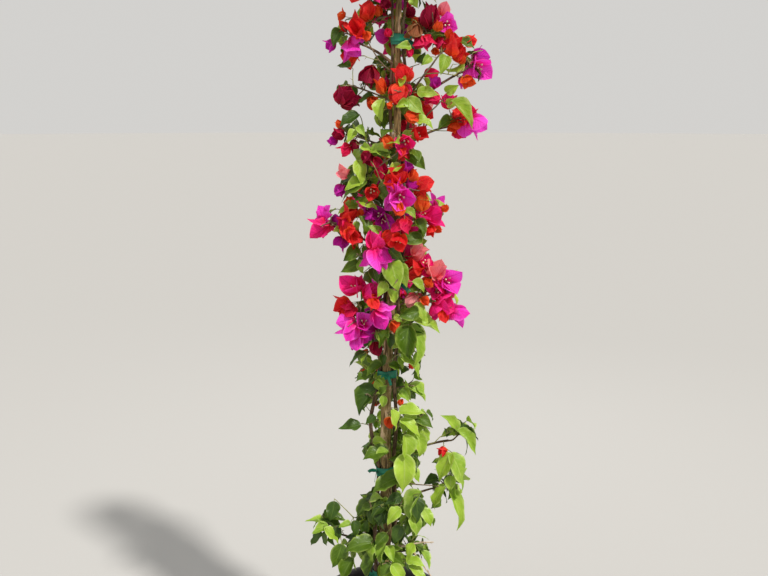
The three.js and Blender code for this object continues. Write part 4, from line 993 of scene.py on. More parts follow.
# Leaves whose place the photograph gives: pixel of the foot u v, of the tip u v, depth, width in pixels, tint
# a lit leaf takes the pale tint and a leaf in shade a darker one: painted light and shade
leaves = [
    (375, 390, 356, 411, -25, 15, "deep"), (359, 425, 340, 430, -10, 11, "deep"),
    (374, 416, 367, 425, -20, 8, "deep"), (386, 451, 363, 457, -50, 13, "green"),
    (387, 452, 374, 463, -60, 8, "lime"), (399, 478, 371, 489, -65, 17, "green"),
    (404, 389, 409, 401, -35, 9, "lime"), (409, 388, 426, 400, -30, 10, "lime"),
    (405, 390, 404, 380, -35, 4, "lime"), (401, 411, 424, 414, -55, 13, "lime"),
    (412, 417, 434, 424, -40, 13, "green"), (393, 411, 398, 430, -75, 9, "lime"),
    (402, 421, 420, 438, -70, 10, "lime"), (417, 436, 423, 456, -60, 14, "lime"),
    (456, 430, 442, 417, -8, 9, "lime"), (459, 432, 477, 451, -10, 9, "lime"),
    (461, 425, 468, 430, 5, 6, "deep"), (405, 437, 407, 461, -80, 14, "lime"),
    (404, 457, 407, 491, -92, 22, "lime"), (451, 456, 438, 481, -40, 17, "lime"),
    (452, 456, 467, 488, -32, 17, "lime"), (450, 477, 452, 490, -38, 12, "lime"),
    (444, 487, 432, 509, -45, 10, "lime"), (449, 491, 463, 529, -35, 9, "lime"),
    (420, 494, 409, 524, -80, 15, "lime"), (415, 499, 420, 521, -92, 13, "deep"),
    (424, 510, 432, 526, -75, 11, "lime"), (412, 516, 420, 534, -98, 13, "lime"),
    (400, 496, 386, 504, -65, 12, "deep"), (399, 509, 386, 523, -85, 12, "lime"),
    (385, 510, 381, 529, -75, 11, "deep"), (381, 502, 358, 510, -48, 10, "green"),
    (385, 506, 370, 515, -65, 11, "deep"), (334, 503, 332, 521, -28, 14, "deep"),
    (324, 524, 306, 522, -28, 6, "lime"), (336, 531, 322, 516, -18, 9, "deep"),
    (327, 526, 313, 534, -42, 9, "lime"), (326, 529, 338, 545, -58, 9, "lime"),
    (320, 532, 312, 546, -20, 9, "deep"), (336, 527, 338, 541, -40, 9, "deep"),
    (354, 522, 356, 537, -50, 10, "deep"), (350, 524, 339, 528, -48, 7, "lime"),
    (341, 546, 336, 568, -75, 18, "green"), (371, 543, 345, 548, -78, 16, "green"),
    (371, 547, 370, 563, -92, 9, "lime"), (386, 535, 374, 546, -78, 12, "green"),
    (385, 546, 380, 564, -88, 9, "lime"), (400, 527, 392, 543, -82, 13, "deep"),
    (413, 545, 405, 561, -88, 10, "lime"), (408, 561, 425, 564, -82, 9, "lime"),
    (410, 566, 427, 577, -84, 10, "lime"), (393, 566, 402, 583, -104, 13, "lime"),
    (352, 560, 340, 578, -80, 14, "green"), (376, 556, 366, 580, -92, 14, "green"),
    (408, 328, 404, 358, -72, 21, "green"), (413, 327, 421, 365, -60, 11, "lime"),
    (402, 357, 421, 379, -66, 10, "lime"), (399, 358, 402, 369, -60, 5, "lime"),
    (390, 365, 404, 373, -58, 8, "green"), (382, 356, 384, 366, -50, 7, "deep"),
    (381, 365, 366, 374, -35, 10, "green"), (370, 374, 356, 382, -25, 10, "green"),
    (364, 353, 348, 364, -35, 7, "deep"), (366, 354, 361, 364, -40, 5, "lime"),
    (380, 393, 387, 386, -50, 7, "green"), (400, 393, 410, 400, -40, 8, "lime"),
    (377, 333, 380, 347, -60, 6, "lime"), (387, 330, 380, 348, -62, 9, "green"),
    (413, 328, 424, 334, -55, 8, "deep"), (415, 321, 439, 331, -48, 13, "lime"),
    (417, 304, 424, 321, -50, 11, "lime"), (417, 312, 399, 314, -68, 15, "green"),
    (395, 316, 403, 321, -70, 7, "lime"), (390, 262, 402, 289, -84, 22, "lime"),
    (398, 265, 409, 285, -78, 16, "lime"), (385, 283, 380, 297, -72, 11, "lime"),
    (389, 249, 402, 264, -78, 15, "green"), (421, 239, 400, 239, -55, 13, "green"),
    (356, 248, 345, 262, -50, 14, "green"), (358, 263, 343, 274, -45, 13, "green"),
    (373, 269, 376, 283, -68, 12, "green"), (361, 201, 378, 207, -50, 10, "lime"),
    (358, 162, 361, 185, -40, 13, "lime"), (364, 182, 340, 200, -45, 11, "green"),
    (361, 181, 345, 190, -40, 11, "lime"), (357, 206, 338, 212, -30, 9, "lime"),
    (372, 151, 392, 155, -48, 10, "lime"), (363, 146, 371, 152, -45, 8, "lime"),
    (407, 155, 424, 170, -55, 13, "green"), (380, 188, 390, 197, -58, 12, "green"),
    (404, 209, 417, 217, -60, 9, "lime"), (417, 197, 432, 199, -45, 9, "lime"),
    (417, 221, 425, 236, -50, 11, "green"), (361, 218, 366, 238, -58, 10, "green"),
    (356, 222, 358, 231, -50, 7, "lime"), (341, 228, 334, 232, -25, 8, "lime"),
    (400, 166, 387, 172, -60, 8, "lime"), (413, 0, 416, 8, -20, 10, "lime"),
    (340, 31, 331, 45, -5, 10, "deep"), (430, 57, 423, 66, -20, 9, "lime"),
    (446, 57, 439, 73, -22, 13, "lime"), (444, 34, 431, 37, -15, 8, "green"),
    (460, 40, 473, 49, -5, 9, "green"), (410, 47, 396, 46, -40, 7, "lime"),
    (409, 99, 421, 116, -52, 15, "lime"), (406, 103, 397, 108, -55, 10, "lime"),
    (383, 101, 383, 121, -45, 11, "lime"), (417, 119, 434, 127, -40, 11, "lime"),
    (419, 92, 438, 92, -28, 11, "lime"), (447, 92, 457, 84, -20, 11, "lime"),
    (447, 104, 459, 100, -20, 10, "lime"), (453, 103, 472, 127, -35, 11, "lime"),
    (357, 115, 340, 126, -15, 11, "deep"), (358, 127, 366, 135, -35, 8, "lime"),
    (355, 131, 346, 141, -30, 9, "lime"), (374, 152, 394, 153, -52, 9, "green"),
    (373, 97, 357, 105, -15, 8, "deep"), (403, 77, 402, 88, -50, 8, "lime"),
    (420, 62, 424, 52, -10, 9, "deep"), (395, 300, 387, 288, -66, 9, "lime"),
    (388, 335, 391, 349, -66, 9, "deep"), (352, 168, 349, 182, -30, 9, "green"),
]
# twigs that show between the leaves: points as pixel u v and depth, and the radius at the foot and the tip
sprigs = [
    ([(421, 79, -12), (432, 65, -18), (439, 55, -18), (446, 48, -14)], 2.8, 1.5),
    ([(441, 73, -20), (454, 75, -20), (463, 68, -14)], 1.5, 1.0),
    ([(381, 63, -10), (375, 54, -16), (369, 43, -20), (366, 35, -20)], 2.0, 1.1),
    ([(373, 59, -18), (365, 56, -22)], 1.1, 0.8),
    ([(384, 17, -10), (379, 18, -16), (372, 25, -22), (367, 31, -24)], 1.6, 0.9),
    ([(425, 118, -12), (431, 111, -16), (438, 104, -18), (447, 97, -16)], 2.3, 1.3),
    ([(419, 129, -14), (429, 130, -18), (440, 131, -20), (450, 131, -18)], 1.4, 0.9),
    ([(384, 163, -66), (392, 157, -70), (401, 150, -66)], 1.3, 0.9),
    ([(381, 181, -60), (377, 171, -66), (371, 161, -62)], 1.5, 1.0),
    ([(388, 149, -56), (397, 143, -60)], 1.2, 0.9), ([(388, 178, -72), (380, 171, -70)], 1.1, 0.8),
    ([(413, 484, -38), (423, 485, -42), (436, 486, -38), (446, 489, -34)], 1.9, 1.2),
    ([(432, 444, -26), (440, 437, -18), (450, 432, -12), (456, 427, -8)], 1.5, 0.9),
]
blades = {"leaf": {}, "bract": {}}  # tint to rows of numbers, one for each blade
stalks, flowers, thorns = [], [], []
takenSpots = []
shown = []  # pixel u v, distance from the camera and radius in pixels of each placed bloom and leaf


def placeSprigs():
    # Each leaves the wood that lies nearest to where its first stretch points back to
    for points, low, high in sprigs:
        path = np.array([atPixel(*point)[0] for point in points])
        spots = np.array(wood["spots"])
        best = int(np.argmin(np.linalg.norm(spots - (1.9 * path[0] - 0.9 * path[1]), axis=1)))
        path = throughPoints([spots[best], *path], 3 * (steps - 1) + 1)[::3]
        addTwig(path, low, high, wood["owner"][best])


def addBlade(kind, tint, foot, way, face, length, width, fold, droop, wave, twist, tone):
    way = unit(way)
    face = unit(face - way * np.dot(face, way))
    form = [length, width, fold, droop, wave, twist, tone, dice.uniform(0, 6.3)]
    blades[kind].setdefault(tint, []).append(np.concatenate([foot, way, face, form]))
    takenSpots.append(foot + way * length * 0.5)


def addBloom(centre, axis, length, opened, tint):
    # Three bracts round an axis. Each starts out at an angle from it that grows with how open the bloom is,
    # and bends back towards it, so a young bloom is a closed lantern and an old one a wide cup.
    axis = unit(axis)
    first, second = squareTo(axis)
    turn = dice.uniform(0, 2 * np.pi)
    turns = [turn + i * 2 * np.pi / 3 for i in range(3)]
    for turn in turns:
        radial = spin(first, second, turn + dice.uniform(-0.14, 0.14))
        lean = lerp(0.55, 1.15, opened) + dice.uniform(-0.12, 0.12)
        face = axis * np.sin(lean) - radial * np.cos(lean)
        size = length * dice.uniform(0.9, 1.08)
        addBlade("bract", tint, centre + radial * 1.2, spin(axis, radial, lean), face, size,
                 size * dice.uniform(0.86, 1.0), lerp(0.5, 0.26, opened), -lerp(0.95, 0.5, opened),
                 dice.uniform(0.025, 0.07), dice.uniform(-0.25, 0.25), dice.random())
    for turn in turns if opened > 0.45 else []:
        radial = spin(first, second, turn)
        foot = centre + radial * 2
        way = unit(axis + radial * lerp(0.1, 0.3, opened))
        flowers.append((foot, foot + way * length * 0.42, dice.uniform(0.7, 1.05)))


def placeBlooms():
    # Each is joined to the nearest wood by a stalk that comes in from behind it. A wide one has a second
    # inside it, turned away a little, so that their bracts fill it out.
    order = []
    for u, v, depth, wide, opened, turn, toward, tint in blooms:
        spot, scale = atPixel(u, v, depth)
        turn = np.radians(turn)
        way = np.array([np.cos(turn), 0, np.sin(turn)]) * (1 - toward) - [0, toward, 0]
        order.append((outwards(spot), tuple(spot), wide * scale, opened, tuple(unit(way)), tint))
        shown.append((u, v, onPicture(spot[None])[2][0], wide * 0.42 + 2))
    for _, spot, across, opened, axis, tint in sorted(order):
        spot, axis = np.array(spot), np.array(axis)
        # a closed bloom is a little narrower than its bracts are long, an open one nearly twice as wide
        length = np.clip(1.12 * across / (0.6 + 1.25 * opened), 13, 58)
        axis = unit(axis + dice.normal(0, 0.12, 3))
        base = spot - axis * length * lerp(0.5, 0.3, opened)
        back = unit(base - axisAt(base[2])) * [1, 1, 0.3]
        root = growTo(base - axis * 5 - back * 14 + up * dice.uniform(-4, 8))[-1]
        stalks.append((root, (root + base - axis * 6) / 2, base, *bloomStalk))
        addBloom(base, axis, length, opened, tint)
        if across > 40:
            first, second = squareTo(axis)
            beside = unit(first * dice.normal() + second * dice.normal() + [0, 0.8, 0])
            inner = base + beside * length * 0.14 - axis * length * 0.1
            stalks.append((root, (root + inner) / 2 + beside * 2, inner, *bloomStalk))
            addBloom(inner, axis + beside * 0.8, length * 0.86, opened * 0.9, tint)


def placeLeaves():
    # Each goes from the pixel of its foot to that of its tip. A blade that is seen narrower than it grows is
    # rolled to face up. Its stalk comes from the nearest wood, or from a new twig where there is none near.
    order = []
    eye = np.array([0, -shot["back"], shot["height"]]) / mm
    for u0, v0, u1, v1, depth, wide, tint in leaves:
        foot, scale = atPixel(u0, v0, depth)
        tip, _ = atPixel(u1, v1, depth - 10)
        distance = onPicture(foot[None])[2][0]
        shown.extend((lerp(u0, u1, at), lerp(v0, v1, at), distance, wide * 0.42 + 1) for at in (0.3, 0.65))
        order.append((outwards(foot), tuple(foot), tuple(tip), wide * scale, tint))
    for _, foot, tip, wide, tint in sorted(order):
        foot, tip = np.array(foot), np.array(tip)
        length = np.linalg.norm(tip - foot)
        way = (tip - foot) / length
        width = max(np.clip(length * 0.7, wide, min(wide * 1.45, 56)), wide)
        seen = unit(eye - foot)
        seen = unit(seen - way * np.dot(seen, way))
        across = np.cross(way, seen)
        face = spin(seen, across, np.arccos(wide / width) * (1 if across[2] > 0 else -1))
        droop = dice.uniform(0.3, 0.85)
        spots = np.array(wood["spots"])
        near = np.linalg.norm(spots - foot, axis=1)
        if near.min() > 20:
            root = growTo(foot - way * 6 - face * 3 + up * 3 + [0, 6, 0] + [0, 4, -3])[-1]
        else:
            root = spots[int(np.argmin(near))]
        stalks.append((root, (root + foot) / 2 + up * 3, foot, *leafStalk))
        addBlade("leaf", tint, foot, way + face * droop * 0.4, face, length * 1.08, width * 1.02,
                 dice.uniform(0.3, 0.85), droop, dice.uniform(0.05, 0.1), dice.uniform(-0.6, 0.6),
                 dice.random())


def roomFor(spot, gap):
    return not takenSpots or np.min(np.linalg.norm(np.array(takenSpots) - spot, axis=1)) > gap


def hidesPlaced(points):
    # true if a point lies in front of a bloom or leaf that was placed by its pixel
    u, v, far = onPicture(points)
    rows = np.array(shown)
    near = np.hypot(u[:, None] - rows[:, 0], v[:, None] - rows[:, 1]) < rows[:, 3]
    return bool(np.any(near & (far[:, None] < rows[:, 2] + 6)))


def insideEdges(points, slack):
    # true if the camera sees every point between the crown's left and right edge, or above the picture, and
    # none of them where the photograph shows through
    u, v, _ = onPicture(points)
    rows = np.arange(len(edges["left"])) * edges["row"]
    left, right = np.interp(v, rows, edges["left"]), np.interp(v, rows, edges["right"])
    discs = np.array(openings)
    clear = np.hypot(u[:, None] - discs[:, 0], v[:, None] - discs[:, 1]) - discs[:, 2]
    return bool(np.all((v < 0) | ((u > left - slack) & (u < right + slack))) and clear.min() > 2)


# The masses behind and at the top, which the picture doesn't show, are taller than their reach and have the
# shape of a rounded column, so that neighbours meet: power 2 is an egg, and more is squarer. The picture
# shows those in front of a depth and below a height.
hidden = {"depth": 40, "height": 1975, "drawnOut": 1.42, "power": 3.0}
# how many fine twigs a mass of the usual reach is tried with, how near to its edge they end, and what share
# flowers
filling = {
    "seen": dict(twigs=20, edge=0.74, flowering=0.62, stretch=1, power=2),
    "unseen": dict(twigs=88, edge=0.92, flowering=0.9, stretch=hidden["drawnOut"], power=hidden["power"]),
}
usual = {"reach": 84, "leaf": 62}
bloomAges = {"young": {"opened": (0.15, 0.35), "length": (17, 24)},
             "grown": {"opened": (0.4, 0.8), "length": (34, 54)}}
neighbours = {"magenta": ["magenta", "rose", "crimson", "violet", "magenta", "orange"],
              "crimson": ["crimson", "rose", "scarlet", "pink", "orange"],
              "scarlet": ["scarlet", "scarlet", "crimson", "orange", "rose"],
              "orange": ["orange", "scarlet", "crimson", "orange", "scarlet"],
              "wine": ["wine", "crimson", "wine", "scarlet", "violet"],
              "leaf": ["orange", "scarlet", "orange"]}
# the right side, towards the light, gets more of the pale sunlit tint and the left more of the darker ones:
# painted light and shade by side
leafMix = [["lime", "green", "lime", "green", "deep", "lime", "green"],
           ["green", "deep", "lime", "green", "deep", "green", "lime"]]  # right side, then left side
golden = 2.399963  # radians from one leaf to the next round its twig


def seenInPicture(index):
    return middles[index, 1] < hidden["depth"] and middles[index, 2] < hidden["height"]


def withinReach(index, point, slack):
    away = point - middles[index]
    if seenInPicture(index):
        return np.linalg.norm(away) < reaches[index] * slack
    power = hidden["power"]
    parts = np.hypot(away[0], away[1]) ** power + (abs(away[2]) / hidden["drawnOut"]) ** power
    return parts ** (1 / power) < reaches[index] * slack


def fits(index, points, slack, beyond):
    # true if a leaf or bloom, whose last point is its tip, stays in its mass and its edges and hides no
    # placed one
    return withinReach(index, points[-1], slack) and insideEdges(points, beyond) and not hidesPlaced(points)


def ruleLeaf(index, spot, along, turn, size, tint, seed, gap=0.4):
    # A leaf at a node: out from the twig, drooping, its face up and outwards, tried at a few turns round the
    # twig
    out = unit(outFrom(spot))
    first, second = squareTo(along)
    for attempt in range(7):
        radial = spin(first, second, turn + attempt * 1.9)
        drop = lerp(0.1, 0.7, chance(seed, attempt + 2)) + 0.12 * attempt
        way = unit(radial * 0.9 + along * 0.35 + out * (0.4 - 0.05 * attempt) - up * drop)
        stalk = size * lerp(0.18, 0.34, chance(seed, attempt + 5))
        foot = spot + unit(way + up * 0.5) * stalk
        middle, tip = foot + way * size * 0.5, foot + way * size
        face = up * 0.6 + out * 0.65 + (dice.random(3) - 0.5) * 0.7
        if not fits(index, np.array([foot, middle, tip]), 1.1, 4):
            continue
        if roomFor(middle, size * gap) and clearOfLimbs(np.array([foot, tip]), 3):
            stalks.append((spot, spot + unit(way + up * 1.2) * stalk * 0.5, foot, *leafStalk))
            addBlade("leaf", tint, foot, way, face, size, size * dice.uniform(0.62, 0.8),
                     dice.uniform(0.15, 0.55), dice.uniform(0.25, 0.95), dice.uniform(0.03, 0.08),
                     dice.uniform(-0.4, 0.4), dice.random())
            return


def ruleBloom(index, spot, way, seed):
    # a bloom at the end of a twig, hanging a little, as large as its mass has room for; true if it is made
    mix = neighbours[masses[index][7]]
    tint = mix[int(chance(seed, 7) * len(mix))]
    age = "young" if tint == "orange" or masses[index][7] == "leaf" else "grown"
    opened = lerp(*bloomAges[age]["opened"], chance(seed, 9))
    length = lerp(*bloomAges[age]["length"], chance(seed, 8))
    axis = way * 0.4 + unit(outFrom(spot)) * 0.5 + up * lerp(-0.9, 0.6, chance(seed, 11))
    axis = unit(axis + (dice.random(3) - 0.5) * 0.9)
    base = spot + way * 5
    ends = np.array([base, base + axis * length * 0.9])
    room = fits(index, ends, 1.08, 6) and roomFor(base + axis * length * 0.45, length * 0.4)
    if not room or not clearOfLimbs(ends, 6):
        return False
    stalks.append((spot, spot + way * 3, base, *bloomStalk))
    addBloom(base, axis, length, opened, tint)
    return True


def growRest(index):
    # Leaves at the nodes of the mass's stem and shoots, then fine twigs to places spread evenly over its
    # space, each with a bloom or a leaf at its end and leaves along it.
    shoots, blooming, main = masses[index][5:8]
    reach, middle = reaches[index], middles[index]
    leafSize = lerp(0.62, 0.86, reach / 90) * usual["leaf"]
    # masses left of the trunk take the darker mix: painted shade on the side away from the light
    tints = leafMix[int(middle[0] < 0)]
    seen = seenInPicture(index)
    rule = filling["seen" if seen else "unseen"]
    flowering = blooming / shoots if main != "leaf" or not seen else 0
    node = 0
    for twig in massTwigs[index]:
        for share in (0.5, 0.78, 1.0):
            spot, along = pathSpot(wood["paths"][twig], share)
            seed = index * 17 + node
            node += 1
            if seen and spot[1] < middle[1] - 0.1 * reach:
                continue
            if flowering and share == 1.0 and ruleBloom(index, spot, along, seed):
                continue
            size = leafSize * lerp(0.72, 1.1, chance(index, node))
            tint = tints[(index * 3 + node) % len(tints)]
            ruleLeaf(index, spot, along, node * golden + index, size, tint, seed)
    count = int(rule["twigs"] * (reach / usual["reach"]) ** 2)
    stretch = np.array([1, 1, rule["stretch"]])
    for i in range(count):
        # a spiral from the top of a ball or column to its bottom, at the golden angle
        level = 1 - 2 * (i + 0.5) / count
        around = i * golden + index
        flat = (1 - abs(level) ** rule["power"]) ** (1 / rule["power"])
        seed = index * 53 + i
        way = np.array([np.cos(around) * flat, np.sin(around) * flat, level])
        target = middle + way * stretch * reach * lerp(0.36, rule["edge"], chance(seed, 1))
        nearest = int(np.argmin(np.linalg.norm(middles - target, axis=1) - reaches))
        behind = target[1] > middle[1] - 0.15 * reach
        if nearest != index or (seen and not behind) or not insideEdges(target[None], 0):
            continue
        if not roomFor(target, leafSize * 0.36) or not clearOfLimbs(target[None], 12):
            continue
        path = growTo(target, *fineTwig)
        along = unit(path[-1] - path[-2])
        bloomHere = chance(seed, 3) < flowering * rule["flowering"]
        if not (bloomHere and ruleBloom(index, target, along, seed)):
            size = leafSize * lerp(0.7, 1.05, chance(seed, 4))
            ruleLeaf(index, target, along, seed * 1.0, size, tints[(index + i) % len(tints)], seed, 0.34)
        for share in (0.45, 0.8):
            if chance(seed, share) < (0.5 if flowering else 0.75):
                spot, along = pathSpot(path, share)
                size = leafSize * lerp(0.55, 0.9, chance(seed, share + 3))
                tint = tints[(index + i * 2) % len(tints)]
                ruleLeaf(index, spot, along, seed * 1.7 + share, size, tint, seed + 3)


placeSprigs()
placeBlooms()
placeLeaves()
placed = len(takenSpots)
for index in range(len(masses)):
    growRest(index)
total = {kind: sum(len(rows) for rows in blades[kind].values()) for kind in blades}
print("blades placed by the photograph:", placed, "leaves:", total["leaf"], "bracts:", total["bract"])

# blades as joined meshes
outlines = {
    "leaf": {"along": (0, 0.025, 0.075, 0.15, 0.225, 0.325, 0.425, 0.55, 0.675, 0.775, 0.875, 0.95, 1),
             "half": (0.03, 0.4, 0.69, 0.9, 0.985, 0.99, 0.92, 0.755, 0.53, 0.345, 0.175, 0.065, 0.01),
             "across": (-1, -0.68, -0.32, 0, 0.32, 0.68, 1),
             "lobe": 0.1, "roll": 0.34, "bend": 0.16},
    "bract": {"along": (0, 0.05, 0.125, 0.25, 0.4, 0.55, 0.7, 0.825, 0.925, 1),
              "half": (0.05, 0.56, 0.86, 1, 1, 0.95, 0.82, 0.57, 0.26, 0.01),
              "across": (-1, -0.8, -0.54, -0.27, 0, 0.27, 0.54, 0.8, 1),
              "lobe": 0.1, "roll": 0.2, "bend": 0.07},
}
fineSteps = 40  # the steps in which a blade's middle line is added up; every place along it falls on one


def runningSum(values):
    # the area under each row from its start, over a length of 1
    areas = (values[:, 1:] + values[:, :-1]) / 2 / (values.shape[1] - 1)
    return np.concatenate([np.zeros((len(values), 1)), np.cumsum(areas, 1)], 1)


def bladeMesh(kind, rows):
    # t runs from foot to tip, s from edge to edge. The half width follows the outline. The middle line turns
    # by droop radians, late in a leaf, and in a bract first inwards and then back, and bends sideways as t
    # squared. The sides fold up as |s|, the edges roll as its cube and wave as two sines of t, and the blade
    # twists with t.
    shape, rows = outlines[kind], np.array(rows)
    t = np.array(shape["along"])[None, :, None]
    s = np.array(shape["across"])[None, None, :]
    half = np.array(shape["half"])[None, :, None]
    foot, way, face = (rows[:, i : i + 3][:, None, None] for i in (0, 3, 6))
    length, width, fold, droop, wave, twist, tone, phase = (rows[:, 9 + i][:, None, None] for i in range(8))
    bend = np.where(np.abs(droop) < 0.02, 0.02, droop)
    fine = np.linspace(0, 1, fineSteps + 1)
    slope = bend[..., 0] * (1.6 * fine - 1.1 * fine**3 if kind == "bract" else fine**1.3 * 1.3)
    at = np.round(np.array(shape["along"]) * fineSteps).astype(int)
    angle = slope[:, at][:, :, None]
    along = length * runningSum(np.cos(slope))[:, at][:, :, None]
    down = length * runningSum(np.sin(slope))[:, at][:, :, None]
    along = along - length * shape["lobe"] * s**2 * (1 - t) ** 4
    across = s * half * width / 2
    ripple = np.sin(t * 10 + phase + (s > 0) * 1.7) + 0.45 * np.sin(t * 21 + 2 * phase + (s > 0) * 2.3)
    ripple = wave * np.minimum(length, width * 1.5) * ripple * np.abs(s) ** 1.6 * np.sin(np.pi * t**0.8)
    if kind == "bract":
        ripple = ripple + 0.018 * length * np.sin(s * 8 + phase) * np.sin(t * 9 + phase * 2)
    roll = np.sin(phase * 5) * np.abs(s) ** 3 * shape["roll"]
    lift = (fold * np.abs(s) ** 1.4 + roll) * half * width / 2 + ripple
    flat, rise = swung(across, lift, twist * t)
    flat = flat + length * shape["bend"] * np.sin(phase * 3) * t**2
    side = np.cross(way, face)
    local = spin(face, way, angle[..., None])
    points = foot + way * along[..., None] - face * down[..., None]
    points = points + side * flat[..., None] + local * rise[..., None]
    count, size = len(rows), t.size * s.size
    uv = np.stack(np.broadcast_arrays((s + 1) / 2 + 0 * t, t + 0 * s), -1)
    uv = np.broadcast_to(uv, (count, *uv.shape[1:])).reshape(-1, 2)
    tones = np.broadcast_to(tone, (count, t.size, s.size)).ravel()
    faces = copies(gridFaces(t.size, s.size)[:, ::-1], count, size)
    return points.reshape(-1, 3), [faces], uv, tones


bladeKinds = {"leaf": ("leaves_", leafLook, leafTints), "bract": ("bracts_", bractLook, bractTints)}
for kind, (many, look, tints) in bladeKinds.items():
    for tint, rows in blades[kind].items():
        points, faces, uv, tones = bladeMesh(kind, rows)
        material = bladeMaterial(kind + "_" + tint, {**look, **tints[tint]})
        slot = "leaf" if kind == "leaf" else bractSlots.get(tint, "bract_red")
        addPiece(many + tint, points, faces, material, massNames, slot, uv, {"tone": tones})
print("blades: done")

# twigs, stalks, thorns, flowers and boughs
twigLook = dict(dark=(0.075, 0.05, 0.03), light=(0.17, 0.12, 0.07), fleck=(0.27, 0.21, 0.13), broad=90.0,
                fine=500.0, fineShare=0.35, rough=(0.6, 0.85), bump=0.5, shine=0.25)
shootLook = dict(dark=(0.14, 0.17, 0.04), light=(0.24, 0.27, 0.07), fleck=(0.3, 0.17, 0.08), broad=70.0,
                 fine=500.0, fineShare=0.3, rough=(0.45, 0.65), bump=0.3, shine=0.35)
thornLook = dict(dark=(0.16, 0.1, 0.05), light=(0.28, 0.19, 0.1), fleck=(0.35, 0.26, 0.15), broad=90.0,
                 fine=600.0, fineShare=0.3, rough=(0.4, 0.6), bump=0.2, shine=0.35)
creamLook = dict(dark=(0.62, 0.55, 0.3), light=(0.8, 0.76, 0.56), fleck=(0.42, 0.5, 0.2), broad=120.0,
                 fine=500.0, fineShare=0.3, rough=(0.5, 0.65), bump=0.2, shine=0.3)


def buildTwigs():
    # A twig is the thicker the more twigs it carries. Woody ones are brown and the finest green. Thorns
    # stand on both.
    paths, carried = np.array(wood["paths"]), np.array(wood["children"], float)
    low = np.maximum(np.array(wood["low"]), 0.9 + 0.42 * np.sqrt(carried))
    high = np.array(wood["high"])
    radii = taper(low, np.where(carried == 0, high, np.maximum(high, 0.62 * low)), steps)
    paths[:, 1:-1] += shaken(paths[:, 1:-1], 9, 50) * 2.2
    woody = low > 1.55
    kinds = {"twigs_woody": (woody, twigLook, "bark"), "twigs_green": (~woody, shootLook, "leaf")}
    for name, (chosen, look, slot) in kinds.items():
        points, faces = tubes(paths[chosen], radii[chosen], 7)
        addPiece(name, points, faces, plainMaterial(name, look), massNames, slot)
    for path in paths:
        for share in (0.3, 0.62, 0.9):
            if dice.random() < 0.55:
                spot, along = pathSpot(path, share)
                radial = unit(np.cross(along, dice.normal(0, 1, 3)))
                size = dice.uniform(4, 9.5)
                end = spot + unit(radial + along * 0.25) * size
                thorns.append((spot, spot + radial * size * 0.5, end, 0.85, 0.12))


def buildStalks(name, rows, sides, material, slot):
    start, bend, end, low, high = (np.array(column) for column in zip(*rows))
    points, faces = tubes(bezier(start, bend, end, 5), taper(low, high, 5), sides)
    addPiece(name, points, faces, material, (), slot)


def buildFlowers():
    # a slim tube that swells at its foot and opens into a small round mouth
    start, end, size = (np.array(column) for column in zip(*flowers))
    paths = bezier(start, (start + end) / 2 + [0, 0, 0.6], end, 7)
    radii = np.array([0.55, 1.0, 0.85, 0.75, 0.85, 1.5, 2.5])[None] * size[:, None]
    points, faces = tubes(paths, radii, 8)
    addPiece("flowers_cream", points, faces, plainMaterial("creamFlower", creamLook), ())


def buildBoughs():
    rows = [barkTube(path, np.linspace(4.4, 2.6, len(path)), boughBark) for path in boughPaths.values()]
    points, faces = joined([row[:2] for row in rows])
    grooveShade = np.concatenate([row[2] for row in rows])
    names = ["bough_" + name for name in boughPaths]
    addPiece("boughs_bark", points, faces, barkYoung, names, "bark", fields={"grooveShade": grooveShade})


buildTwigs()
buildBoughs()
buildStalks("leaf_stalks", stalks, 5, bpy.data.materials["twigs_green"], "leaf")
buildStalks("thorns", thorns, 4, plainMaterial("thornWood", thornLook), "bark")
buildFlowers()
print("twigs:", len(wood["paths"]), "stalks:", len(stalks), "thorns:", len(thorns), "flowers:", len(flowers))

# the dry forked twig
dryTwig = dict(foot=505, fork=(62, -30, 540.0), tips=((136, -46, 561.0), (132, -62, 463.0)), points=25)
dryLook = dict(dark=(0.42, 0.31, 0.2), light=(0.66, 0.54, 0.4), fleck=(0.25, 0.17, 0.1), broad=80.0,
               fine=400.0, fineShare=0.4, rough=(0.7, 0.9), bump=0.5, shine=0.2)


def buildDryTwig():
    # two long arms from one fork, each with two short spurs
    foot, fork, count = axisAt(dryTwig["foot"]), np.array(dryTwig["fork"]), dryTwig["points"]
    rows = []
    for tip in np.array(dryTwig["tips"]):
        arm = throughPoints([foot, fork, fork * 0.5 + tip * 0.5 + up * 4, tip], count)
        rows.append(arm)
        for share, way in ((0.62, (0.5, -0.5, 0.7)), (0.82, (0.6, 0.3, -0.6))):
            spot, along = pathSpot(arm, share)
            end = spot + unit(np.array(way) + along) * 17
            rows.append(bezier(spot, (spot + end) / 2 + up * 1.5, end, count)[0])
    paths = np.array(rows)
    paths[:, 1:-1] += shaken(paths[:, 1:-1], 8, 40) * 1.8
    low, high = (np.array(radii * 2)[:, None] for radii in ([3.0, 1.2, 1.1], [1.4, 0.6, 0.6]))
    radii = low + (high - low) * np.linspace(0, 1, count)[None]
    radii = radii * (1 + 0.2 * (noiseAt(paths, (6, 6, 6)) - 0.5))
    points, faces = tubes(paths, radii, 10)
    addPiece("dry_twig_wood", points, faces, plainMaterial("dryTwig", dryLook), ["dry_twig"], "dry_wood")


buildDryTwig()

# the ties
tape = {"width": 22, "thick": 0.55, "away": 0.5, "around": 132, "tail": 30, "facing": 195, "turn": 36}
tapeLook = dict(dark=(0.004, 0.13, 0.078), light=(0.008, 0.22, 0.13), fleck=(0.03, 0.32, 0.2), broad=60.0,
                fine=300.0, fineShare=0.25, rough=(0.32, 0.5), bump=0.25, shine=0.5)
knot = {"tilts": (0.2, 1.3, -0.9), "points": 17, "radius": 2.0, "wide": 4.6}
tails = {"ways": ((-0.55, 0.5, 1.0), (0.35, -0.7, 0.8)), "points": 14, "foot": [1.6, 3.2, 4.8]}
tapeGreen = plainMaterial("tapeGreen", tapeLook)


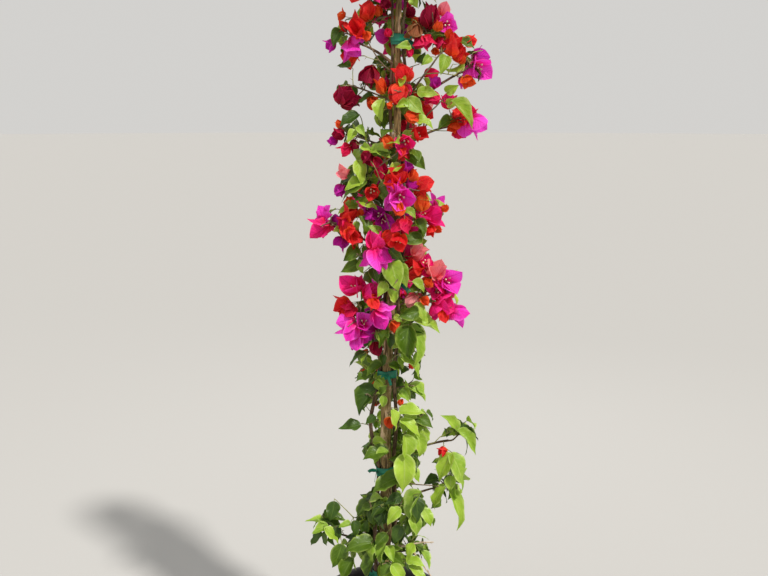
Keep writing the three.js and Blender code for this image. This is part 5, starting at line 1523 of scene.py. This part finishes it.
def outlineAt(z, away):
    # the outermost points round the trunk and stems: in each direction the circle that reaches furthest that
    # way
    angle = circle(tape["around"])
    normal = np.stack([np.cos(angle), np.sin(angle)], -1)
    held = [limbAt(name, z) for name in limbs if name == "trunk" or z > stems[name]["foot"] + leaving]
    centres = np.array([centre[:2] for centre, _ in held])
    radii = np.array([radius for _, radius in held])
    best = np.argmax(centres @ normal.T + radii[:, None], 0)
    return centres[best] + normal * (radii[best] + away)[:, None], normal


def bandMesh(z, away, slope, seed):
    # The tape's section, a thin upright loop, carried round the outline. Edges wander a little and the face
    # creases.
    heights = np.array([-1, -0.5, 0, 0.5, 1, 1, 0.5, 0, -0.5, -1]) * tape["width"] / 2 * 0.86
    offset = np.array([0, 0, 0, 0, 0, 1, 1, 1, 1, 1]) * tape["thick"]
    angle = circle(tape["around"])
    rings = []
    for rise, out in zip(heights, offset):
        flat, normal = outlineAt(z, away + out)
        level = z + rise * (1 + 0.08 * np.sin(angle * 3 + seed)) + slope * np.sin(angle + seed)
        crease = noiseAt(np.stack([flat[:, 0], flat[:, 1], level], -1), (14, 14, 5)) * 0.7
        rings.append(np.column_stack([flat + normal * crease[:, None], level]))
    # the row after the last is the first again
    quads = gridFaces(tape["around"] + 1, len(heights), True)[:, [0, 3, 2, 1]]
    return np.stack(rings, 1).reshape(-1, 3), [quads % (tape["around"] * len(heights))]


def tieMesh(z, number):
    # two turns of tape, a knot of three small loops and two tails that curl as they hang
    facing = np.radians(tape["facing"] + tape["turn"] * number)
    parts = [bandMesh(z - 3, tape["away"], 2.0, number)]
    parts.append(bandMesh(z + 3, tape["away"] + 1.0, -2.5, number + 2))
    flat, normal = outlineAt(z, 2.2)
    at = int(np.argmax(normal @ [np.cos(facing), np.sin(facing)]))
    middle, out = np.append(flat[at], z), np.append(normal[at], 0)
    side = np.cross(up, out)
    turn = np.linspace(0, 2 * np.pi, knot["points"])[:, None]
    for tilt in knot["tilts"]:
        across = spin(side, up, tilt)
        loop = middle + out * (1.4 + 1.8 * np.cos(turn)) + across * knot["wide"] * np.sin(turn)
        parts.append(tubes(loop[None], np.full((1, knot["points"]), knot["radius"]), 8, 0.5))
    start = middle + out * 2
    for lift, swing, long in tails["ways"]:
        way = unit(out + up * lift + side * swing)
        end = start + way * tape["tail"] * long - up * 5
        path = bezier(start, start + way * tape["tail"] * 0.5 + up * 6, end, tails["points"])
        wide = np.full((1, tails["points"]), tape["width"] * 0.27)
        wide[0, :3] = tails["foot"]
        parts.append(tubes(path, wide, 10, 0.09, (side * 0.3 + up)[None]))
    return joined(parts)


for number, z in enumerate(tieHeights, 1):
    addPiece(f"tape_{number}", *tieMesh(z, number - 1), tapeGreen, [f"tie_{number}"], "tie_tape")
print("ties: done")

# floor and light
disc = {"radii": (0.4, 0.8, 1.6, 3.2, 6.4, 12.8, 25, 50, 90), "sides": 96, "colour": (0.4, 0.395, 0.385, 1)}
lamps = {
    "fill": dict(place=(-2.4, -2.4, 2.2), target=(0, 0, 1.2), size=2.4, power=16, colour=(0.93, 0.97, 1.0)),
    "behind": dict(place=(0.6, 2.6, 2.8), target=(0, 0, 1.4), size=1.6, power=18, colour=(1.0, 0.98, 0.95)),
}
sun = dict(place=(2.2, -1.9, 3.6), turn=(39, 0, 47), spread=5, power=4.1, colour=(1.0, 0.965, 0.91))
sky = {"colour": (1.0, 0.985, 0.955, 1), "strength": 0.65}


def floorMaterial():
    # one pale tone, with only its roughness and a faint grain varied
    material, tree, shader, place = startMaterial("floor", 0.2)
    shader.inputs["Base Color"].default_value = disc["colour"]
    grain = patchOf(tree, place, 90.0, 0.3, 0.7)["Noise"]
    finish(tree, shader, None, ramp(tree, grain, 0.2, 0.8, 0.75, 0.9), grain, 0.04, 0.0005)
    return material


def buildFloor():
    # a wide flat disc, rings closer together near the plant
    radii, sides = np.array(disc["radii"])[:, None] / mm, disc["sides"]
    angle = circle(sides)
    x, y = radii * np.cos(angle), radii * np.sin(angle)
    points = np.vstack([np.stack([x, y, np.zeros_like(x)], -1).reshape(-1, 3), [[0, 0, 0]]])
    j = np.arange(sides)
    middle = np.stack([np.full(sides, len(points) - 1), j, (j + 1) % sides], -1)
    quads = gridFaces(len(radii), sides, True)[:, ::-1]
    mesh = bpy.data.meshes.new("floor")
    mesh.from_pydata((points * mm).tolist(), [], quads.tolist() + middle.tolist())
    mesh.materials.append(floorMaterial())
    floor = addObject("floor", mesh)


def addLight(name, kind, lamp, turn, **settings):
    data = bpy.data.lights.new(name, kind)
    data.energy, data.color = lamp["power"], lamp["colour"]
    for label, value in settings.items():
        setattr(data, label, value)
    made = addObject(name, data)
    made.location, made.rotation_euler = lamp["place"], turn


buildFloor()
# a soft broad light from the upper right in front, the same all over the floor, and two round lamps
addLight("key", "SUN", sun, np.radians(sun["turn"]), angle=np.radians(sun["spread"]))
for name, lamp in lamps.items():
    way = np.array(lamp["target"], float) - lamp["place"]
    turn = (np.arctan2(np.hypot(way[0], way[1]), -way[2]), 0, np.arctan2(-way[0], way[1]))
    addLight(name, "AREA", lamp, turn, shape="DISK", size=lamp["size"])
world = bpy.data.worlds.new("studio")
world.use_nodes = True
background = world.node_tree.nodes["Background"]
background.inputs["Color"].default_value = sky["colour"]
background.inputs["Strength"].default_value = sky["strength"]
bpy.context.scene.world = world
bpy.context.scene.view_settings.view_transform = "Standard"
print("stage: done")
